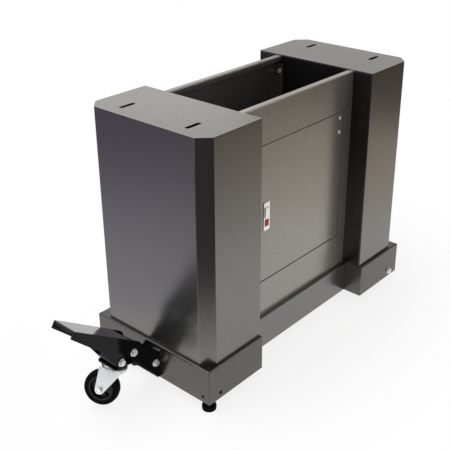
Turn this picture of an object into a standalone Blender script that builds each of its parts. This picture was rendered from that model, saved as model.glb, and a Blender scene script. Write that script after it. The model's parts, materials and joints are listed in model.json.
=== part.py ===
"""Drum sander stand: two sheet-steel columns, a storage trough with a door, and a foot-pedal caster.

Metres, +Z up. X runs along the stand with the pedal at -X, the door faces -Y, and the floor is Z = 0.
"""
from math import acos, asin, atan2, cos, pi, radians, sin, sqrt, tan

import bmesh
import bpy

# Stand
STAND_LENGTH = 0.716
STAND_DEPTH = 0.325
COLUMN_WIDTH = 0.163
COLUMN_HEIGHT = 0.495
CORNER_CHAMFER = 0.025
GROUND_CLEARANCE = 0.024
PLINTH_HEIGHT = 0.082
PLINTH_OVERHANG = 0.007
PLINTH_FLANGE = 0.050
SHOULDER_RADIUS = 0.004
SHEET = 0.0015
PLINTH_SHEET = 0.002
TOP_SHEET = 0.003
BEND_RADIUS = 0.003
WELD_FLANGE = 0.018
GAP = 0.0003
HOLE_PLAY = 0.0004

# Mounting slots in the column tops
SLOT_LENGTH = 0.040
SLOT_WIDTH = 0.010
SLOT_INSET = 0.047
SLOT_SETBACK = 0.0715

# Trough
PANEL_RECESS = 0.050
PANEL_DROP = 0.0025
RIM_WIDTH = 0.017
RIM_LIP = 0.012
END_FLANGE = 0.022
RAIL_PROUD = 0.010
RAIL_FLANGE = 0.045
RAIL_LIP = 0.015
RAIL_DROP = 0.003
TRAY_LIP = 0.015
PANEL_BOLT_INSET = 0.012
PANEL_BOLT_DROP = 0.041

# Door
DOOR_WIDTH = 0.326
DOOR_HEIGHT = 0.320
DOOR_RISE = 0.088
DOOR_GAP = 0.002
DOOR_RETURN = 0.010
HINGE_INSET = 0.013
HINGE_DEPTH = 0.006
HINGE_PIN_RADIUS = 0.0025
HINGE_PIN_HEAD = 0.0045
HINGE_LEAF_WIDTH = 0.022
HINGE_LEAF_HEIGHT = 0.056
HINGE_SCREW_INSET = 0.016
HINGE_SCREW_DROPS = (0.0123, 0.046)
HINGE_SCREW_RADIUS = 0.002
HINGE_SCREW_HEAD = 0.0045

# Latch
LATCH_INSET = 0.0465
LATCH_RISE = 0.157
BEZEL_WIDTH = 0.020
BEZEL_HEIGHT = 0.066
BEZEL_THICKNESS = 0.0025
LATCH_BODY_WIDTH = 0.017
LATCH_BODY_HEIGHT = 0.050
SPINDLE_RISE = 0.013
SPINDLE_RADIUS = 0.005
HANDLE_RADIUS = 0.0085
HANDLE_LENGTH = 0.0145
HANDLE_THICKNESS = 0.004
BUTTON_WIDTH = 0.013
BUTTON_HEIGHT = 0.016
BUTTON_DROP = 0.0155
BUTTON_PROUD = 0.0015
BUTTON_TRAVEL = 0.0025
CAM_LENGTH = 0.058
CAM_RADIUS = 0.008
CAM_THICKNESS = 0.003

# Levelling feet
FOOT_INSET = 0.016
FOOT_RADIUS = 0.0155
FOOT_HEIGHT = 0.012
STUD_RADIUS = 0.004
STUD_PROUD = 0.038
GUSSET_SIZE = 0.045
GUSSET_SHEET = 0.004
GUSSET_RISE = 0.004

# Wheels
WHEEL_RADIUS = 0.038
WHEEL_WIDTH = 0.024
AXLE_RADIUS = 0.004
AXLE_INSET = 0.0345
FIXED_WHEEL_DEPTH = 0.038
WHEEL_SIDE_PLAY = 0.0015
WHEEL_BRACKET_SHEET = 0.003
WHEEL_BRACKET_WIDTH = 0.030
WHEEL_BRACKET_EAR = 0.012
END_HOLE_INSET = 0.018
TOOL_HOLE_RADIUS = 0.0035

# Fasteners
BOLT_FLAT = 0.013
BOLT_HEAD = 0.0055
BOLT_FLANGE = 0.0085
NUT_HEIGHT = 0.0065
SCREW_RADIUS = 0.003
SCREW_FLAT = 0.010
SCREW_HEAD = 0.004

# Pedal and bracket
PIVOT_OUT = 0.0745
PIVOT_RISE = 0.1027
ARM_PIVOT_OUT = 0.013
ARM_PIVOT_DROP = 0.0617
BRACKET_RISE = 0.005
BRACKET_HEIGHT = 0.058
BRACKET_BOLT_DROP = 0.007
BRACKET_BOLT_RISE = 0.011
BRACKET_SHEET = 0.004
BRACKET_EAR = 0.018
PEDAL_WIDTH = 0.060
PEDAL_SHEET = 0.003
PEDAL_TILT = radians(33.8)
PEDAL_LENGTH = 0.184
TREAD_START = 0.024
TREAD_RISE = 0.0245
PEDAL_LIP = 0.016
TREAD_LIP = 0.008
LIP_RELIEF = 0.0028
PEDAL_KNEE_OUT = 0.0888
PEDAL_KNEE_DOWN = 0.009
ROLLER_OUT = 0.024
ROLLER_DOWN = 0.0239
ROLLER_RADIUS = 0.013
ROLLER_CHEEK = 0.012

# Caster
ARM_LIFT = radians(13.5)
ARM_SHEET = 0.004
ARM_WIDTH = 0.043
ARM_END_WIDTH = 0.058
ARM_LENGTH = 0.117
ARM_EAR = 0.0075
ARM_CORNER = 0.006
KINGPIN_REACH = 0.0934
HEAD_RADIUS = 0.0225
HEAD_HEIGHT = 0.005
KINGPIN_RADIUS = 0.006
CROWN_RADIUS = 0.027
CROWN_HEIGHT = 0.010
FORK_SHEET = 0.003
FORK_EAR = 0.010
CASTER_TRAIL = 0.021
CASTER_SWIVEL = radians(27)
CASTER_FLOOR_GAP = 0.012
HUB_RADIUS = 0.027
BOSS_RADIUS = 0.010
TYRE_CROWN = 0.001
TYRE_SHOULDER = 0.003

FINISHES = {
    "charcoal": ((0.055, 0.056, 0.060), 0.3, 0.5),
    "gloss_black": ((0.010, 0.010, 0.011), 0.0, 0.2),
    "zinc": ((0.62, 0.63, 0.65), 1.0, 0.3),
    "rubber": ((0.012, 0.012, 0.012), 0.0, 0.7),
    "plastic": ((0.030, 0.030, 0.032), 0.0, 0.5),
    "silver": ((0.70, 0.70, 0.70), 0.8, 0.3),
    "red": ((0.55, 0.02, 0.02), 0.0, 0.4),
}

# Planes that several pieces share
OUT_X = STAND_LENGTH / 2
IN_X = OUT_X - COLUMN_WIDTH
FACE_X = OUT_X + PLINTH_OVERHANG
HALF_DEPTH = STAND_DEPTH / 2
PLINTH_Y = HALF_DEPTH + PLINTH_OVERHANG
PLINTH_TOP = GROUND_CLEARANCE + PLINTH_HEIGHT
TOP_Z = PLINTH_TOP + COLUMN_HEIGHT
PANEL_Y = HALF_DEPTH - PANEL_RECESS
RAIL_TOP = PLINTH_TOP - RAIL_DROP
PANEL_TOP = TOP_Z - PANEL_DROP
BOLT_Y = PANEL_Y - PANEL_BOLT_INSET
BOLT_Z = TOP_Z - PANEL_BOLT_DROP
SLOT_X = OUT_X - SLOT_INSET
SLOT_Y = HALF_DEPTH - SLOT_SETBACK
AXLE_X = FACE_X - AXLE_INSET
FIXED_WHEEL_Y = PLINTH_Y - FIXED_WHEEL_DEPTH
DOOR_BOTTOM = RAIL_TOP + DOOR_RISE
DOOR_TOP = DOOR_BOTTOM + DOOR_HEIGHT
HINGE_SCREW_X = DOOR_WIDTH / 2 - HINGE_SCREW_INSET
LATCH_X = LATCH_INSET - DOOR_WIDTH / 2
BRACKET_BOTTOM = GROUND_CLEARANCE + BRACKET_RISE
BRACKET_TOP = BRACKET_BOTTOM + BRACKET_HEIGHT
PIVOT_X = -FACE_X - PIVOT_OUT
PIVOT_HEIGHT = BRACKET_BOTTOM + PIVOT_RISE
ARM_PIVOT_X = -FACE_X - ARM_PIVOT_OUT
ARM_PIVOT_HEIGHT = PIVOT_HEIGHT - ARM_PIVOT_DROP
ORIGIN_X = -(AXLE_X + WHEEL_RADIUS + PIVOT_X
             - PEDAL_LENGTH * cos(PEDAL_TILT) + (TREAD_RISE - PEDAL_LIP) * sin(PEDAL_TILT)) / 2


def box(x0, x1, y0, y1, z0, z1):
    return prism([(x0, y0), (x1, y0), (x1, y1), (x0, y1)], z0, z1)


def prism(points, low, high, axis="Z"):
    """Extrude a flat outline; its two coordinates are the axes left over, in order."""
    place = {"X": lambda u, v, w: (w, u, v), "Y": lambda u, v, w: (u, w, v),
             "Z": lambda u, v, w: (u, v, w)}[axis]
    return loft([[place(u, v, low) for u, v in points], [place(u, v, high) for u, v in points]])


def loft(rings, closed=False):
    count = len(rings[0])
    verts = [point for ring in rings for point in ring]
    faces = []
    for r in range(len(rings) if closed else len(rings) - 1):
        a = r * count
        b = (r + 1) % len(rings) * count
        for i in range(count):
            j = (i + 1) % count
            faces.append((a + i, a + j, b + j, b + i))
    if not closed:
        faces.append(tuple(range(count))[::-1])
        faces.append(tuple(range(len(verts) - count, len(verts))))
    return verts, faces


def circle(radius, height, count=16):
    return [(radius * cos(2 * pi * i / count), radius * sin(2 * pi * i / count), height) for i in range(count)]


def hexagon(flat, height, count=12):
    ring = []
    for i in range(count):
        angle = 2 * pi * i / count
        off = (angle + pi / 6) % (pi / 3) - pi / 6
        ring.append((flat / 2 / cos(off) * cos(angle), flat / 2 / cos(off) * sin(angle), height))
    return ring


def turned(profile, count=16, closed=False):
    return loft([circle(radius, height, count) for radius, height in profile], closed)


def bolt(radius, length, flat, head, flange):
    """Hex bolt along +Z with its seat at Z = 0."""
    return loft([hexagon(flat * 0.9, -head), hexagon(flat, -head * 0.85), hexagon(flat, -head * 0.25),
                 circle(flange, -head * 0.2, 12), circle(flange, 0, 12), circle(radius, 0, 12),
                 circle(radius, length - radius * 0.3, 12), circle(radius * 0.75, length, 12)])


def nut(radius, flat, height):
    bore = radius + HOLE_PLAY + GAP / 3
    return loft([hexagon(flat, 0), hexagon(flat, height * 0.9), hexagon(flat * 0.92, height),
                 circle(bore, height, 12), circle(bore, 0, 12)], closed=True)


def aimed(solid, axis, at):
    """Turn a solid's +Z to an axis and move its origin there."""
    place = {"X": lambda x, y, z: (z, y, -x), "-X": lambda x, y, z: (-z, y, x), "Y": lambda x, y, z: (x, z, -y),
             "-Y": lambda x, y, z: (x, -z, y), "Z": lambda x, y, z: (x, y, z)}[axis]
    verts = [tuple(p + o for p, o in zip(place(*v), at)) for v in solid[0]]
    return verts, solid[1]


def rod(radius, axis, at, length, count=16):
    return aimed(turned([(radius, 0), (radius, length)], count), axis, at)


def moved(solid, x=0.0, y=0.0, z=0.0):
    return [(p[0] + x, p[1] + y, p[2] + z) for p in solid[0]], solid[1]


def flipped(solid, x=1, y=1):
    return [(p[0] * x, p[1] * y, p[2]) for p in solid[0]], solid[1]


def joined(solids):
    verts = []
    faces = []
    for v, f in solids:
        faces += [tuple(i + len(verts) for i in face) for face in f]
        verts += v
    return verts, faces


def belt(discs, steps=6):
    """Outline round discs (u, v, radius) taken anticlockwise; a radius of 0 is a plain corner."""
    normals = []
    for (u0, v0, r0), (u1, v1, r1) in zip(discs, discs[1:] + discs[:1]):
        span = sqrt((u1 - u0) ** 2 + (v1 - v0) ** 2)
        normals.append(atan2(v1 - v0, u1 - u0) - acos((r0 - r1) / span))
    points = []
    for i, (u, v, r) in enumerate(discs):
        if r == 0:
            points.append((u, v))
            continue
        start = normals[i - 1]
        sweep = (normals[i] - start) % (2 * pi)
        for k in range(steps + 1):
            angle = start + sweep * k / steps
            points.append((u + r * cos(angle), v + r * sin(angle)))
    return points


def offset(path, distance):
    """Move an open line to its left by a distance, with mitred corners."""
    turns = [atan2(b[1] - a[1], b[0] - a[0]) for a, b in zip(path, path[1:])]
    points = []
    for i, (u, v) in enumerate(path):
        before = turns[max(i - 1, 0)]
        after = turns[min(i, len(turns) - 1)]
        half = atan2(sin(after - before), cos(after - before)) / 2
        reach = distance / cos(half)
        points.append((u - reach * sin(before + half), v + reach * cos(before + half)))
    return points


def rounded(path, radius, steps=4):
    """Round the inner corners of an open line."""
    points = [path[0]]
    for a, b, c in zip(path, path[1:], path[2:]):
        before = atan2(b[1] - a[1], b[0] - a[0])
        after = atan2(c[1] - b[1], c[0] - b[0])
        turn = atan2(sin(after - before), cos(after - before))
        reach = radius * abs(tan(turn / 2))
        side = 1 if turn > 0 else -1
        start = (b[0] - reach * cos(before), b[1] - reach * sin(before))
        centre = (start[0] - side * radius * sin(before), start[1] + side * radius * cos(before))
        for k in range(steps + 1):
            angle = before - side * pi / 2 + turn * k / steps
            points.append((centre[0] + radius * cos(angle), centre[1] + radius * sin(angle)))
    return points + [path[-1]]


def sheet(path, thickness, low, high, axis="Z"):
    """Fold a sheet along a line; a positive thickness lies to the left, on the inside of the bends."""
    outer = rounded(path, BEND_RADIUS)
    inner = rounded(offset(path, thickness), BEND_RADIUS - abs(thickness))
    return prism(outer + inner[::-1], low, high, axis)


def pan(x0, x1, y0, y1, z0, z1, thickness):
    """Shallow tray that opens to +Y."""
    outer = [(x0, z0), (x1, z0), (x1, z1), (x0, z1)]
    t = thickness
    inner = [(x0 + t, z0 + t), (x1 - t, z0 + t), (x1 - t, z1 - t), (x0 + t, z1 - t)]
    rings = [(outer, y0), (outer, y1), (inner, y1), (inner, y0 + t)]
    return loft([[(u, y, v) for u, v in points] for points, y in rings])


def empty(name, at, parent=None, tilt=0.0, turn=0.0):
    holder = bpy.data.objects.new(name, None)
    bpy.context.collection.objects.link(holder)
    holder.location = at
    holder.rotation_euler = (0, tilt, turn)
    holder.empty_display_size = 0.03
    holder.parent = parent
    return holder


def mesh_object(name, solid, parent):
    mesh = bpy.data.meshes.new(name)
    mesh.from_pydata(solid[0], [], solid[1])
    shape = bmesh.new()
    shape.from_mesh(mesh)
    bmesh.ops.recalc_face_normals(shape, faces=shape.faces)
    shape.to_mesh(mesh)
    shape.free()
    item = bpy.data.objects.new(name, mesh)
    bpy.context.collection.objects.link(item)
    item.parent = parent
    return item


def tool(item, kind, solids):
    """Add to or cut from a piece with a hidden body."""
    helper = mesh_object(item.name + "_" + kind.lower(), joined(solids), item.parent)
    helper.hide_render = True
    helper.display_type = "WIRE"
    step = item.modifiers.new(kind.title(), "BOOLEAN")
    step.operation = kind
    step.solver = "EXACT"
    step.object = helper


def piece(name, solid, finish, parent, origin=(0, 0, 0), adds=(), cuts=()):
    """Make one named piece; origin is the place of its parent in the coordinates of the solids."""
    shift = [-value for value in origin]
    item = mesh_object(name, moved(solid, *shift), parent)
    colour, metallic, roughness = FINISHES[finish]
    paint = bpy.data.materials.new(name + "_" + finish)
    paint.use_nodes = True
    surface = paint.node_tree.nodes["Principled BSDF"].inputs
    surface["Base Color"].default_value = (*colour, 1)
    surface["Metallic"].default_value = metallic
    surface["Roughness"].default_value = roughness
    item.data.materials.append(paint)
    for kind, solids in (("UNION", adds), ("DIFFERENCE", cuts)):
        if solids:
            tool(item, kind, [moved(body, *shift) for body in solids])
    return item


for old in list(bpy.data.objects):
    bpy.data.objects.remove(old, do_unlink=True)
stand = empty("stand", (ORIGIN_X, 0, 0))

# Columns: a wrap folded round three sides, an inner panel with weld flanges, and a slotted top plate
corners = [(IN_X, -HALF_DEPTH), (OUT_X - CORNER_CHAMFER, -HALF_DEPTH), (OUT_X, -HALF_DEPTH + CORNER_CHAMFER),
           (OUT_X, HALF_DEPTH - CORNER_CHAMFER), (OUT_X - CORNER_CHAMFER, HALF_DEPTH), (IN_X, HALF_DEPTH)]
column_low = PLINTH_TOP + GAP
column_high = TOP_Z - TOP_SHEET - GAP
inner_y = HALF_DEPTH - SHEET - GAP
shell = sheet(corners, SHEET, column_low, column_high)
inner_panel = sheet([(IN_X + WELD_FLANGE, -inner_y), (IN_X, -inner_y), (IN_X, inner_y),
                     (IN_X + WELD_FLANGE, inner_y)], -SHEET, column_low, column_high)
top_plate = prism(rounded(corners, BEND_RADIUS), TOP_Z - TOP_SHEET, TOP_Z)
slot_reach = (SLOT_LENGTH - SLOT_WIDTH) / 2
slots = []
panel_holes = []
for y_side in (-1, 1):
    slot = belt([(SLOT_X - slot_reach, y_side * SLOT_Y, SLOT_WIDTH / 2),
                 (SLOT_X + slot_reach, y_side * SLOT_Y, SLOT_WIDTH / 2)])
    slots.append(prism(slot, TOP_Z - 2 * TOP_SHEET, TOP_Z + TOP_SHEET))
    panel_holes.append(rod(SCREW_RADIUS + HOLE_PLAY, "X", (IN_X - 0.01, y_side * BOLT_Y, BOLT_Z), 0.02))
for side, x_side in (("left", -1), ("right", 1)):
    piece(side + "_column_shell", flipped(shell, x_side), "charcoal", stand)
    piece(side + "_column_inner_panel", flipped(inner_panel, x_side), "charcoal", stand,
          cuts=[flipped(hole, x_side) for hole in panel_holes])
    piece(side + "_column_top", flipped(top_plate, x_side), "charcoal", stand,
          cuts=[flipped(slot, x_side) for slot in slots])

# Plinths: a skirt with a rounded shoulder, mitred at the corners, and a flange under the column
section = [(0, 0, GROUND_CLEARANCE)]
for step in range(5):
    angle = pi / 2 * step / 4
    section.append((SHOULDER_RADIUS * (1 - cos(angle)), 0, PLINTH_TOP - SHOULDER_RADIUS * (1 - sin(angle))))
section.append((PLINTH_FLANGE, PLINTH_FLANGE, PLINTH_TOP))
section.append((PLINTH_FLANGE, PLINTH_FLANGE, PLINTH_TOP - PLINTH_SHEET))
for step in range(4, -1, -1):
    angle = pi / 2 * step / 4
    inside = SHOULDER_RADIUS - PLINTH_SHEET
    section.append((SHOULDER_RADIUS - inside * cos(angle), PLINTH_SHEET,
                    PLINTH_TOP - SHOULDER_RADIUS + inside * sin(angle)))
section.append((PLINTH_SHEET, PLINTH_SHEET, GROUND_CLEARANCE))
plinth = loft([[(FACE_X - o, -PLINTH_Y + o, z), (FACE_X - o, PLINTH_Y - o, z),
                (IN_X + i, PLINTH_Y - o, z), (IN_X + i, -PLINTH_Y + o, z)] for o, i, z in section], closed=True)
plinth_holes = []
for y_side in (-1, 1):
    plinth_holes.append(flipped(rod(AXLE_RADIUS + HOLE_PLAY, "Y", (AXLE_X, -PLINTH_Y - 0.01, WHEEL_RADIUS), 0.02),
                                1, -y_side))
    plinth_holes.append(rod(TOOL_HOLE_RADIUS, "X", (FACE_X - 0.01, y_side * (PLINTH_Y - END_HOLE_INSET),
                                                    WHEEL_RADIUS), 0.02))
bracket_bolt_heights = {"upper": BRACKET_TOP - BRACKET_BOLT_DROP, "lower": BRACKET_BOTTOM + BRACKET_BOLT_RISE}
bracket_holes = [rod(SCREW_RADIUS + HOLE_PLAY, "X", (-FACE_X - 0.02, 0, z), 0.04)
                 for z in bracket_bolt_heights.values()]
notch_half = WHEEL_WIDTH / 2 + 0.0025
notch_top = WHEEL_RADIUS + sqrt(WHEEL_RADIUS ** 2 - (AXLE_INSET - PLINTH_SHEET) ** 2) + 0.004
wheel_notches = [box(FACE_X - 0.01, FACE_X + 0.01, y_side * FIXED_WHEEL_Y - notch_half,
                     y_side * FIXED_WHEEL_Y + notch_half, 0, notch_top) for y_side in (-1, 1)]
piece("left_plinth", flipped(plinth, -1), "charcoal", stand,
      cuts=[flipped(hole, -1) for hole in plinth_holes] + bracket_holes)
piece("right_plinth", plinth, "charcoal", stand, cuts=plinth_holes + wheel_notches)

# Trough: rails between the plinths, panels with folded rims, and a floor tray on the rails
rail_y = -PANEL_Y - RAIL_PROUD
trough_x = IN_X - GAP
rail = sheet([(rail_y + RAIL_LIP, GROUND_CLEARANCE), (rail_y, GROUND_CLEARANCE), (rail_y, RAIL_TOP),
              (rail_y + RAIL_FLANGE, RAIL_TOP)], -SHEET, -trough_x, trough_x, "X")
panel_low = RAIL_TOP + GAP
panel = sheet([(-PANEL_Y, panel_low), (-PANEL_Y, PANEL_TOP), (-PANEL_Y + RIM_WIDTH, PANEL_TOP),
               (-PANEL_Y + RIM_WIDTH, PANEL_TOP - RIM_LIP)], -SHEET, -trough_x, trough_x, "X")
flange_low = panel_low + TRAY_LIP + 0.012
flange_high = PANEL_TOP - RIM_LIP - 0.008
end_flanges = [box(x_side * (trough_x - SHEET), x_side * (trough_x - 0.0001), -PANEL_Y + SHEET / 2,
                   -PANEL_Y + END_FLANGE, flange_low, flange_high) for x_side in (-1, 1)]
flange_holes = [rod(SCREW_RADIUS + HOLE_PLAY, "X", (x_side * IN_X - 0.01, -BOLT_Y, BOLT_Z), 0.02)
                for x_side in (-1, 1)]
opening_x = DOOR_WIDTH / 2 + DOOR_GAP
opening_low = DOOR_BOTTOM - DOOR_GAP
opening_high = DOOR_TOP + DOOR_GAP
door_frame = box(-opening_x - SHEET, opening_x + SHEET, -PANEL_Y + SHEET / 2, -PANEL_Y + DOOR_RETURN,
                 opening_low - SHEET, opening_high + SHEET)
door_opening = box(-opening_x, opening_x, -PANEL_Y - 0.01, -PANEL_Y + 0.02, opening_low, opening_high)
hinge_x = DOOR_WIDTH / 2 - HINGE_INSET
hinge_y = -PANEL_Y + HINGE_DEPTH
pin_holes = [rod(HINGE_PIN_RADIUS + HOLE_PLAY, "Z", (hinge_x, hinge_y, z - 0.008), 0.016)
             for z in (opening_low, opening_high)]
tray_y = PANEL_Y - SHEET - GAP
tray_z = RAIL_TOP + GAP
tray = sheet([(-tray_y, tray_z + TRAY_LIP), (-tray_y, tray_z), (tray_y, tray_z), (tray_y, tray_z + TRAY_LIP)],
             SHEET, -trough_x, trough_x, "X")
piece("front_rail", rail, "charcoal", stand)
piece("back_rail", flipped(rail, 1, -1), "charcoal", stand)
tool(piece("front_panel", panel, "charcoal", stand, adds=end_flanges + [door_frame],
           cuts=flange_holes + [door_opening]), "DIFFERENCE", pin_holes)
piece("back_panel", flipped(panel, 1, -1), "charcoal", stand, adds=[flipped(f, 1, -1) for f in end_flanges],
      cuts=[flipped(h, 1, -1) for h in flange_holes])
piece("floor_panel", tray, "charcoal", stand)
panel_bolt = bolt(SCREW_RADIUS, 0.014, SCREW_FLAT, SCREW_HEAD, SCREW_FLAT * 0.62)
for face, y_side in (("front", -1), ("back", 1)):
    for side, x_side in (("left", -1), ("right", 1)):
        seat = (x_side * (trough_x - SHEET - GAP), y_side * BOLT_Y, BOLT_Z)
        way = "X" if x_side > 0 else "-X"
        piece("panel_bolt_" + face + "_" + side, aimed(panel_bolt, way, seat), "zinc", stand)

# Door: a folded pan on two pins at the right edge
door_hinge = (hinge_x, hinge_y, DOOR_BOTTOM)
door_pivot = empty("door_pivot", door_hinge, stand)
latch_z = DOOR_BOTTOM + LATCH_RISE
screw_heights = {"upper": DOOR_TOP - HINGE_SCREW_DROPS[0], "lower": DOOR_TOP - HINGE_SCREW_DROPS[1]}
screw_holes = [rod(HINGE_SCREW_RADIUS + HOLE_PLAY, "Y", (HINGE_SCREW_X, -PANEL_Y - 0.01, z), 0.02)
               for z in screw_heights.values()]
latch_hole = box(LATCH_X - LATCH_BODY_WIDTH / 2 - GAP, LATCH_X + LATCH_BODY_WIDTH / 2 + GAP, -PANEL_Y - 0.01,
                 -PANEL_Y + 0.01, latch_z - LATCH_BODY_HEIGHT / 2 - GAP, latch_z + LATCH_BODY_HEIGHT / 2 + GAP)
piece("door_panel", pan(-DOOR_WIDTH / 2, DOOR_WIDTH / 2, -PANEL_Y, -PANEL_Y + DOOR_RETURN, DOOR_BOTTOM, DOOR_TOP,
                        SHEET), "charcoal", door_pivot, door_hinge, cuts=screw_holes + pin_holes + [latch_hole])
leaf_y = -PANEL_Y + SHEET + GAP
leaf_top = DOOR_TOP - SHEET - GAP
leaf = box(hinge_x - HINGE_LEAF_WIDTH / 2, hinge_x + HINGE_LEAF_WIDTH / 2 - 0.001, leaf_y, leaf_y + 0.002,
           DOOR_TOP - HINGE_LEAF_HEIGHT, leaf_top)
tab = box(hinge_x - 0.008, hinge_x + 0.008, leaf_y + 0.001, leaf_y + 0.0078, leaf_top - 0.003, leaf_top - 0.0001)
pin_low = leaf_top - 0.002
upper_pin = rod(HINGE_PIN_RADIUS, "Z", (hinge_x, hinge_y, pin_low), opening_high + 0.005 - pin_low)
tool(piece("upper_hinge", leaf, "zinc", door_pivot, door_hinge, adds=[tab], cuts=screw_holes), "UNION",
     [moved(upper_pin, *[-value for value in door_hinge])])
hinge_screw = turned([(HINGE_SCREW_HEAD * 0.7, -0.0024), (HINGE_SCREW_HEAD, -0.0014), (HINGE_SCREW_HEAD, 0),
                      (HINGE_SCREW_RADIUS, 0), (HINGE_SCREW_RADIUS, 0.008)], 16)
for place, height in screw_heights.items():
    piece("hinge_screw_" + place, aimed(hinge_screw, "Y", (HINGE_SCREW_X, -PANEL_Y - GAP, height)), "zinc",
          door_pivot, door_hinge)
collar = (opening_low + GAP, DOOR_BOTTOM - GAP)
pin_seat = opening_low - SHEET - GAP
pin_profile = [(HINGE_PIN_HEAD, pin_seat - 0.0032), (HINGE_PIN_HEAD, pin_seat), (HINGE_PIN_RADIUS, pin_seat),
               (HINGE_PIN_RADIUS, collar[0]), (HINGE_PIN_HEAD, collar[0]), (HINGE_PIN_HEAD, collar[1]),
               (HINGE_PIN_RADIUS, collar[1]), (HINGE_PIN_RADIUS, DOOR_BOTTOM + 0.0075)]
piece("lower_hinge_pin", moved(turned(pin_profile, 16), hinge_x, hinge_y), "zinc", stand)

# Latch: a bezel through the door, a release button, and a handle that turns the cam behind the frame
spindle_z = latch_z + SPINDLE_RISE
button_z = latch_z - BUTTON_DROP
bezel_back = -PANEL_Y - GAP
bezel_front = bezel_back - BEZEL_THICKNESS
body_back = -PANEL_Y + DOOR_RETURN
button_hole = (BUTTON_WIDTH / 2 + GAP, BUTTON_HEIGHT / 2 + GAP)
half_bezel = (BEZEL_WIDTH / 2 - 0.003, BEZEL_HEIGHT / 2 - 0.003)
bezel = belt([(LATCH_X + u * half_bezel[0], latch_z + v * half_bezel[1], 0.003)
              for u, v in ((-1, -1), (1, -1), (1, 1), (-1, 1))], 4)
latch_body = box(LATCH_X - LATCH_BODY_WIDTH / 2, LATCH_X + LATCH_BODY_WIDTH / 2, bezel_back - 0.001, body_back,
                 latch_z - LATCH_BODY_HEIGHT / 2, latch_z + LATCH_BODY_HEIGHT / 2)
button_back = bezel_front + 0.0055
button_pocket = box(LATCH_X - button_hole[0], LATCH_X + button_hole[0], bezel_front - 0.01,
                    button_back + BUTTON_TRAVEL + 0.0005, button_z - button_hole[1], button_z + button_hole[1])
piece("latch_housing", prism(bezel, bezel_front, bezel_back, "Y"), "silver", door_pivot, door_hinge,
      adds=[latch_body],
      cuts=[rod(SPINDLE_RADIUS + HOLE_PLAY, "Y", (LATCH_X, bezel_front - 0.01, spindle_z), 0.04), button_pocket])
button = (LATCH_X, bezel_front - BUTTON_PROUD, button_z)
button_slide = empty("latch_button_slide", [a - b for a, b in zip(button, door_hinge)], door_pivot)
piece("latch_button", box(LATCH_X - BUTTON_WIDTH / 2, LATCH_X + BUTTON_WIDTH / 2, button[1], button_back,
                          button_z - BUTTON_HEIGHT / 2, button_z + BUTTON_HEIGHT / 2), "red", button_slide, button)
spindle = (LATCH_X, bezel_front, spindle_z)
handle_pivot = empty("latch_handle_pivot", [a - b for a, b in zip(spindle, door_hinge)], door_pivot)
handle_back = bezel_front - GAP
handle_end = HANDLE_RADIUS - 0.003
paddle = belt([(LATCH_X - handle_end, spindle_z - HANDLE_LENGTH, 0.003),
               (LATCH_X + handle_end, spindle_z - HANDLE_LENGTH, 0.003), (LATCH_X, spindle_z, HANDLE_RADIUS)], 8)
cam_front = body_back + 0.001
spindle_rod = rod(SPINDLE_RADIUS, "Y", (LATCH_X, handle_back - 0.002, spindle_z),
                  cam_front + CAM_THICKNESS + 0.003 - handle_back + 0.002)
piece("latch_handle", prism(paddle, handle_back - HANDLE_THICKNESS, handle_back, "Y"), "silver", handle_pivot,
      spindle, adds=[spindle_rod])
cam = belt([(LATCH_X, spindle_z, CAM_RADIUS + 0.002),
            (LATCH_X - CAM_LENGTH + CAM_RADIUS, spindle_z, CAM_RADIUS)], 8)
piece("latch_cam", prism(cam, cam_front, cam_front + CAM_THICKNESS, "Y"), "zinc", handle_pivot, spindle,
      cuts=[rod(SPINDLE_RADIUS + HOLE_PLAY, "Y", (LATCH_X, cam_front - 0.01, spindle_z), 0.03)])

# Levelling feet: a moulded pad on a stud through a gusset in each outer corner of the left plinth
foot_x = -FACE_X + FOOT_INSET
foot_y = -PLINTH_Y + FOOT_INSET
gusset_z = GROUND_CLEARANCE + GUSSET_RISE
corner_x = -FACE_X + PLINTH_SHEET + GAP
corner_y = -PLINTH_Y + PLINTH_SHEET + GAP
gusset = prism([(corner_x, corner_y), (corner_x + GUSSET_SIZE, corner_y),
                (corner_x + GUSSET_SIZE, corner_y + 0.4 * GUSSET_SIZE),
                (corner_x + 0.4 * GUSSET_SIZE, corner_y + GUSSET_SIZE), (corner_x, corner_y + GUSSET_SIZE)],
               gusset_z, gusset_z + GUSSET_SHEET)
stud_socket = FOOT_HEIGHT * 0.4
pad = turned([(0.0005, 0), (FOOT_RADIUS * 0.93, 0), (FOOT_RADIUS, FOOT_HEIGHT * 0.25),
              (FOOT_RADIUS, FOOT_HEIGHT * 0.8), (FOOT_RADIUS * 0.9, FOOT_HEIGHT), (STUD_RADIUS + GAP, FOOT_HEIGHT),
              (STUD_RADIUS + GAP, stud_socket), (0.0005, stud_socket)], 20)
stud_top = gusset_z + GUSSET_SHEET + STUD_PROUD
stud = turned([(STUD_RADIUS, stud_socket + GAP), (STUD_RADIUS, stud_top - 0.001), (STUD_RADIUS * 0.75, stud_top)])
for face, y_side in (("front", 1), ("back", -1)):
    piece(face + "_foot_gusset", flipped(gusset, 1, y_side), "charcoal", stand,
          cuts=[flipped(rod(STUD_RADIUS + HOLE_PLAY, "Z", (foot_x, foot_y, 0), 0.06), 1, y_side)])
    piece(face + "_foot_locknut", moved(nut(STUD_RADIUS, BOLT_FLAT, NUT_HEIGHT), foot_x, y_side * foot_y,
                                        gusset_z - GAP - NUT_HEIGHT), "zinc", stand)
    foot_slide = empty(face + "_foot_slide", (foot_x, y_side * foot_y, 0), stand)
    piece(face + "_foot_stud", stud, "zinc", foot_slide)
    piece(face + "_foot_pad", pad, "rubber", foot_slide)

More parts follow.
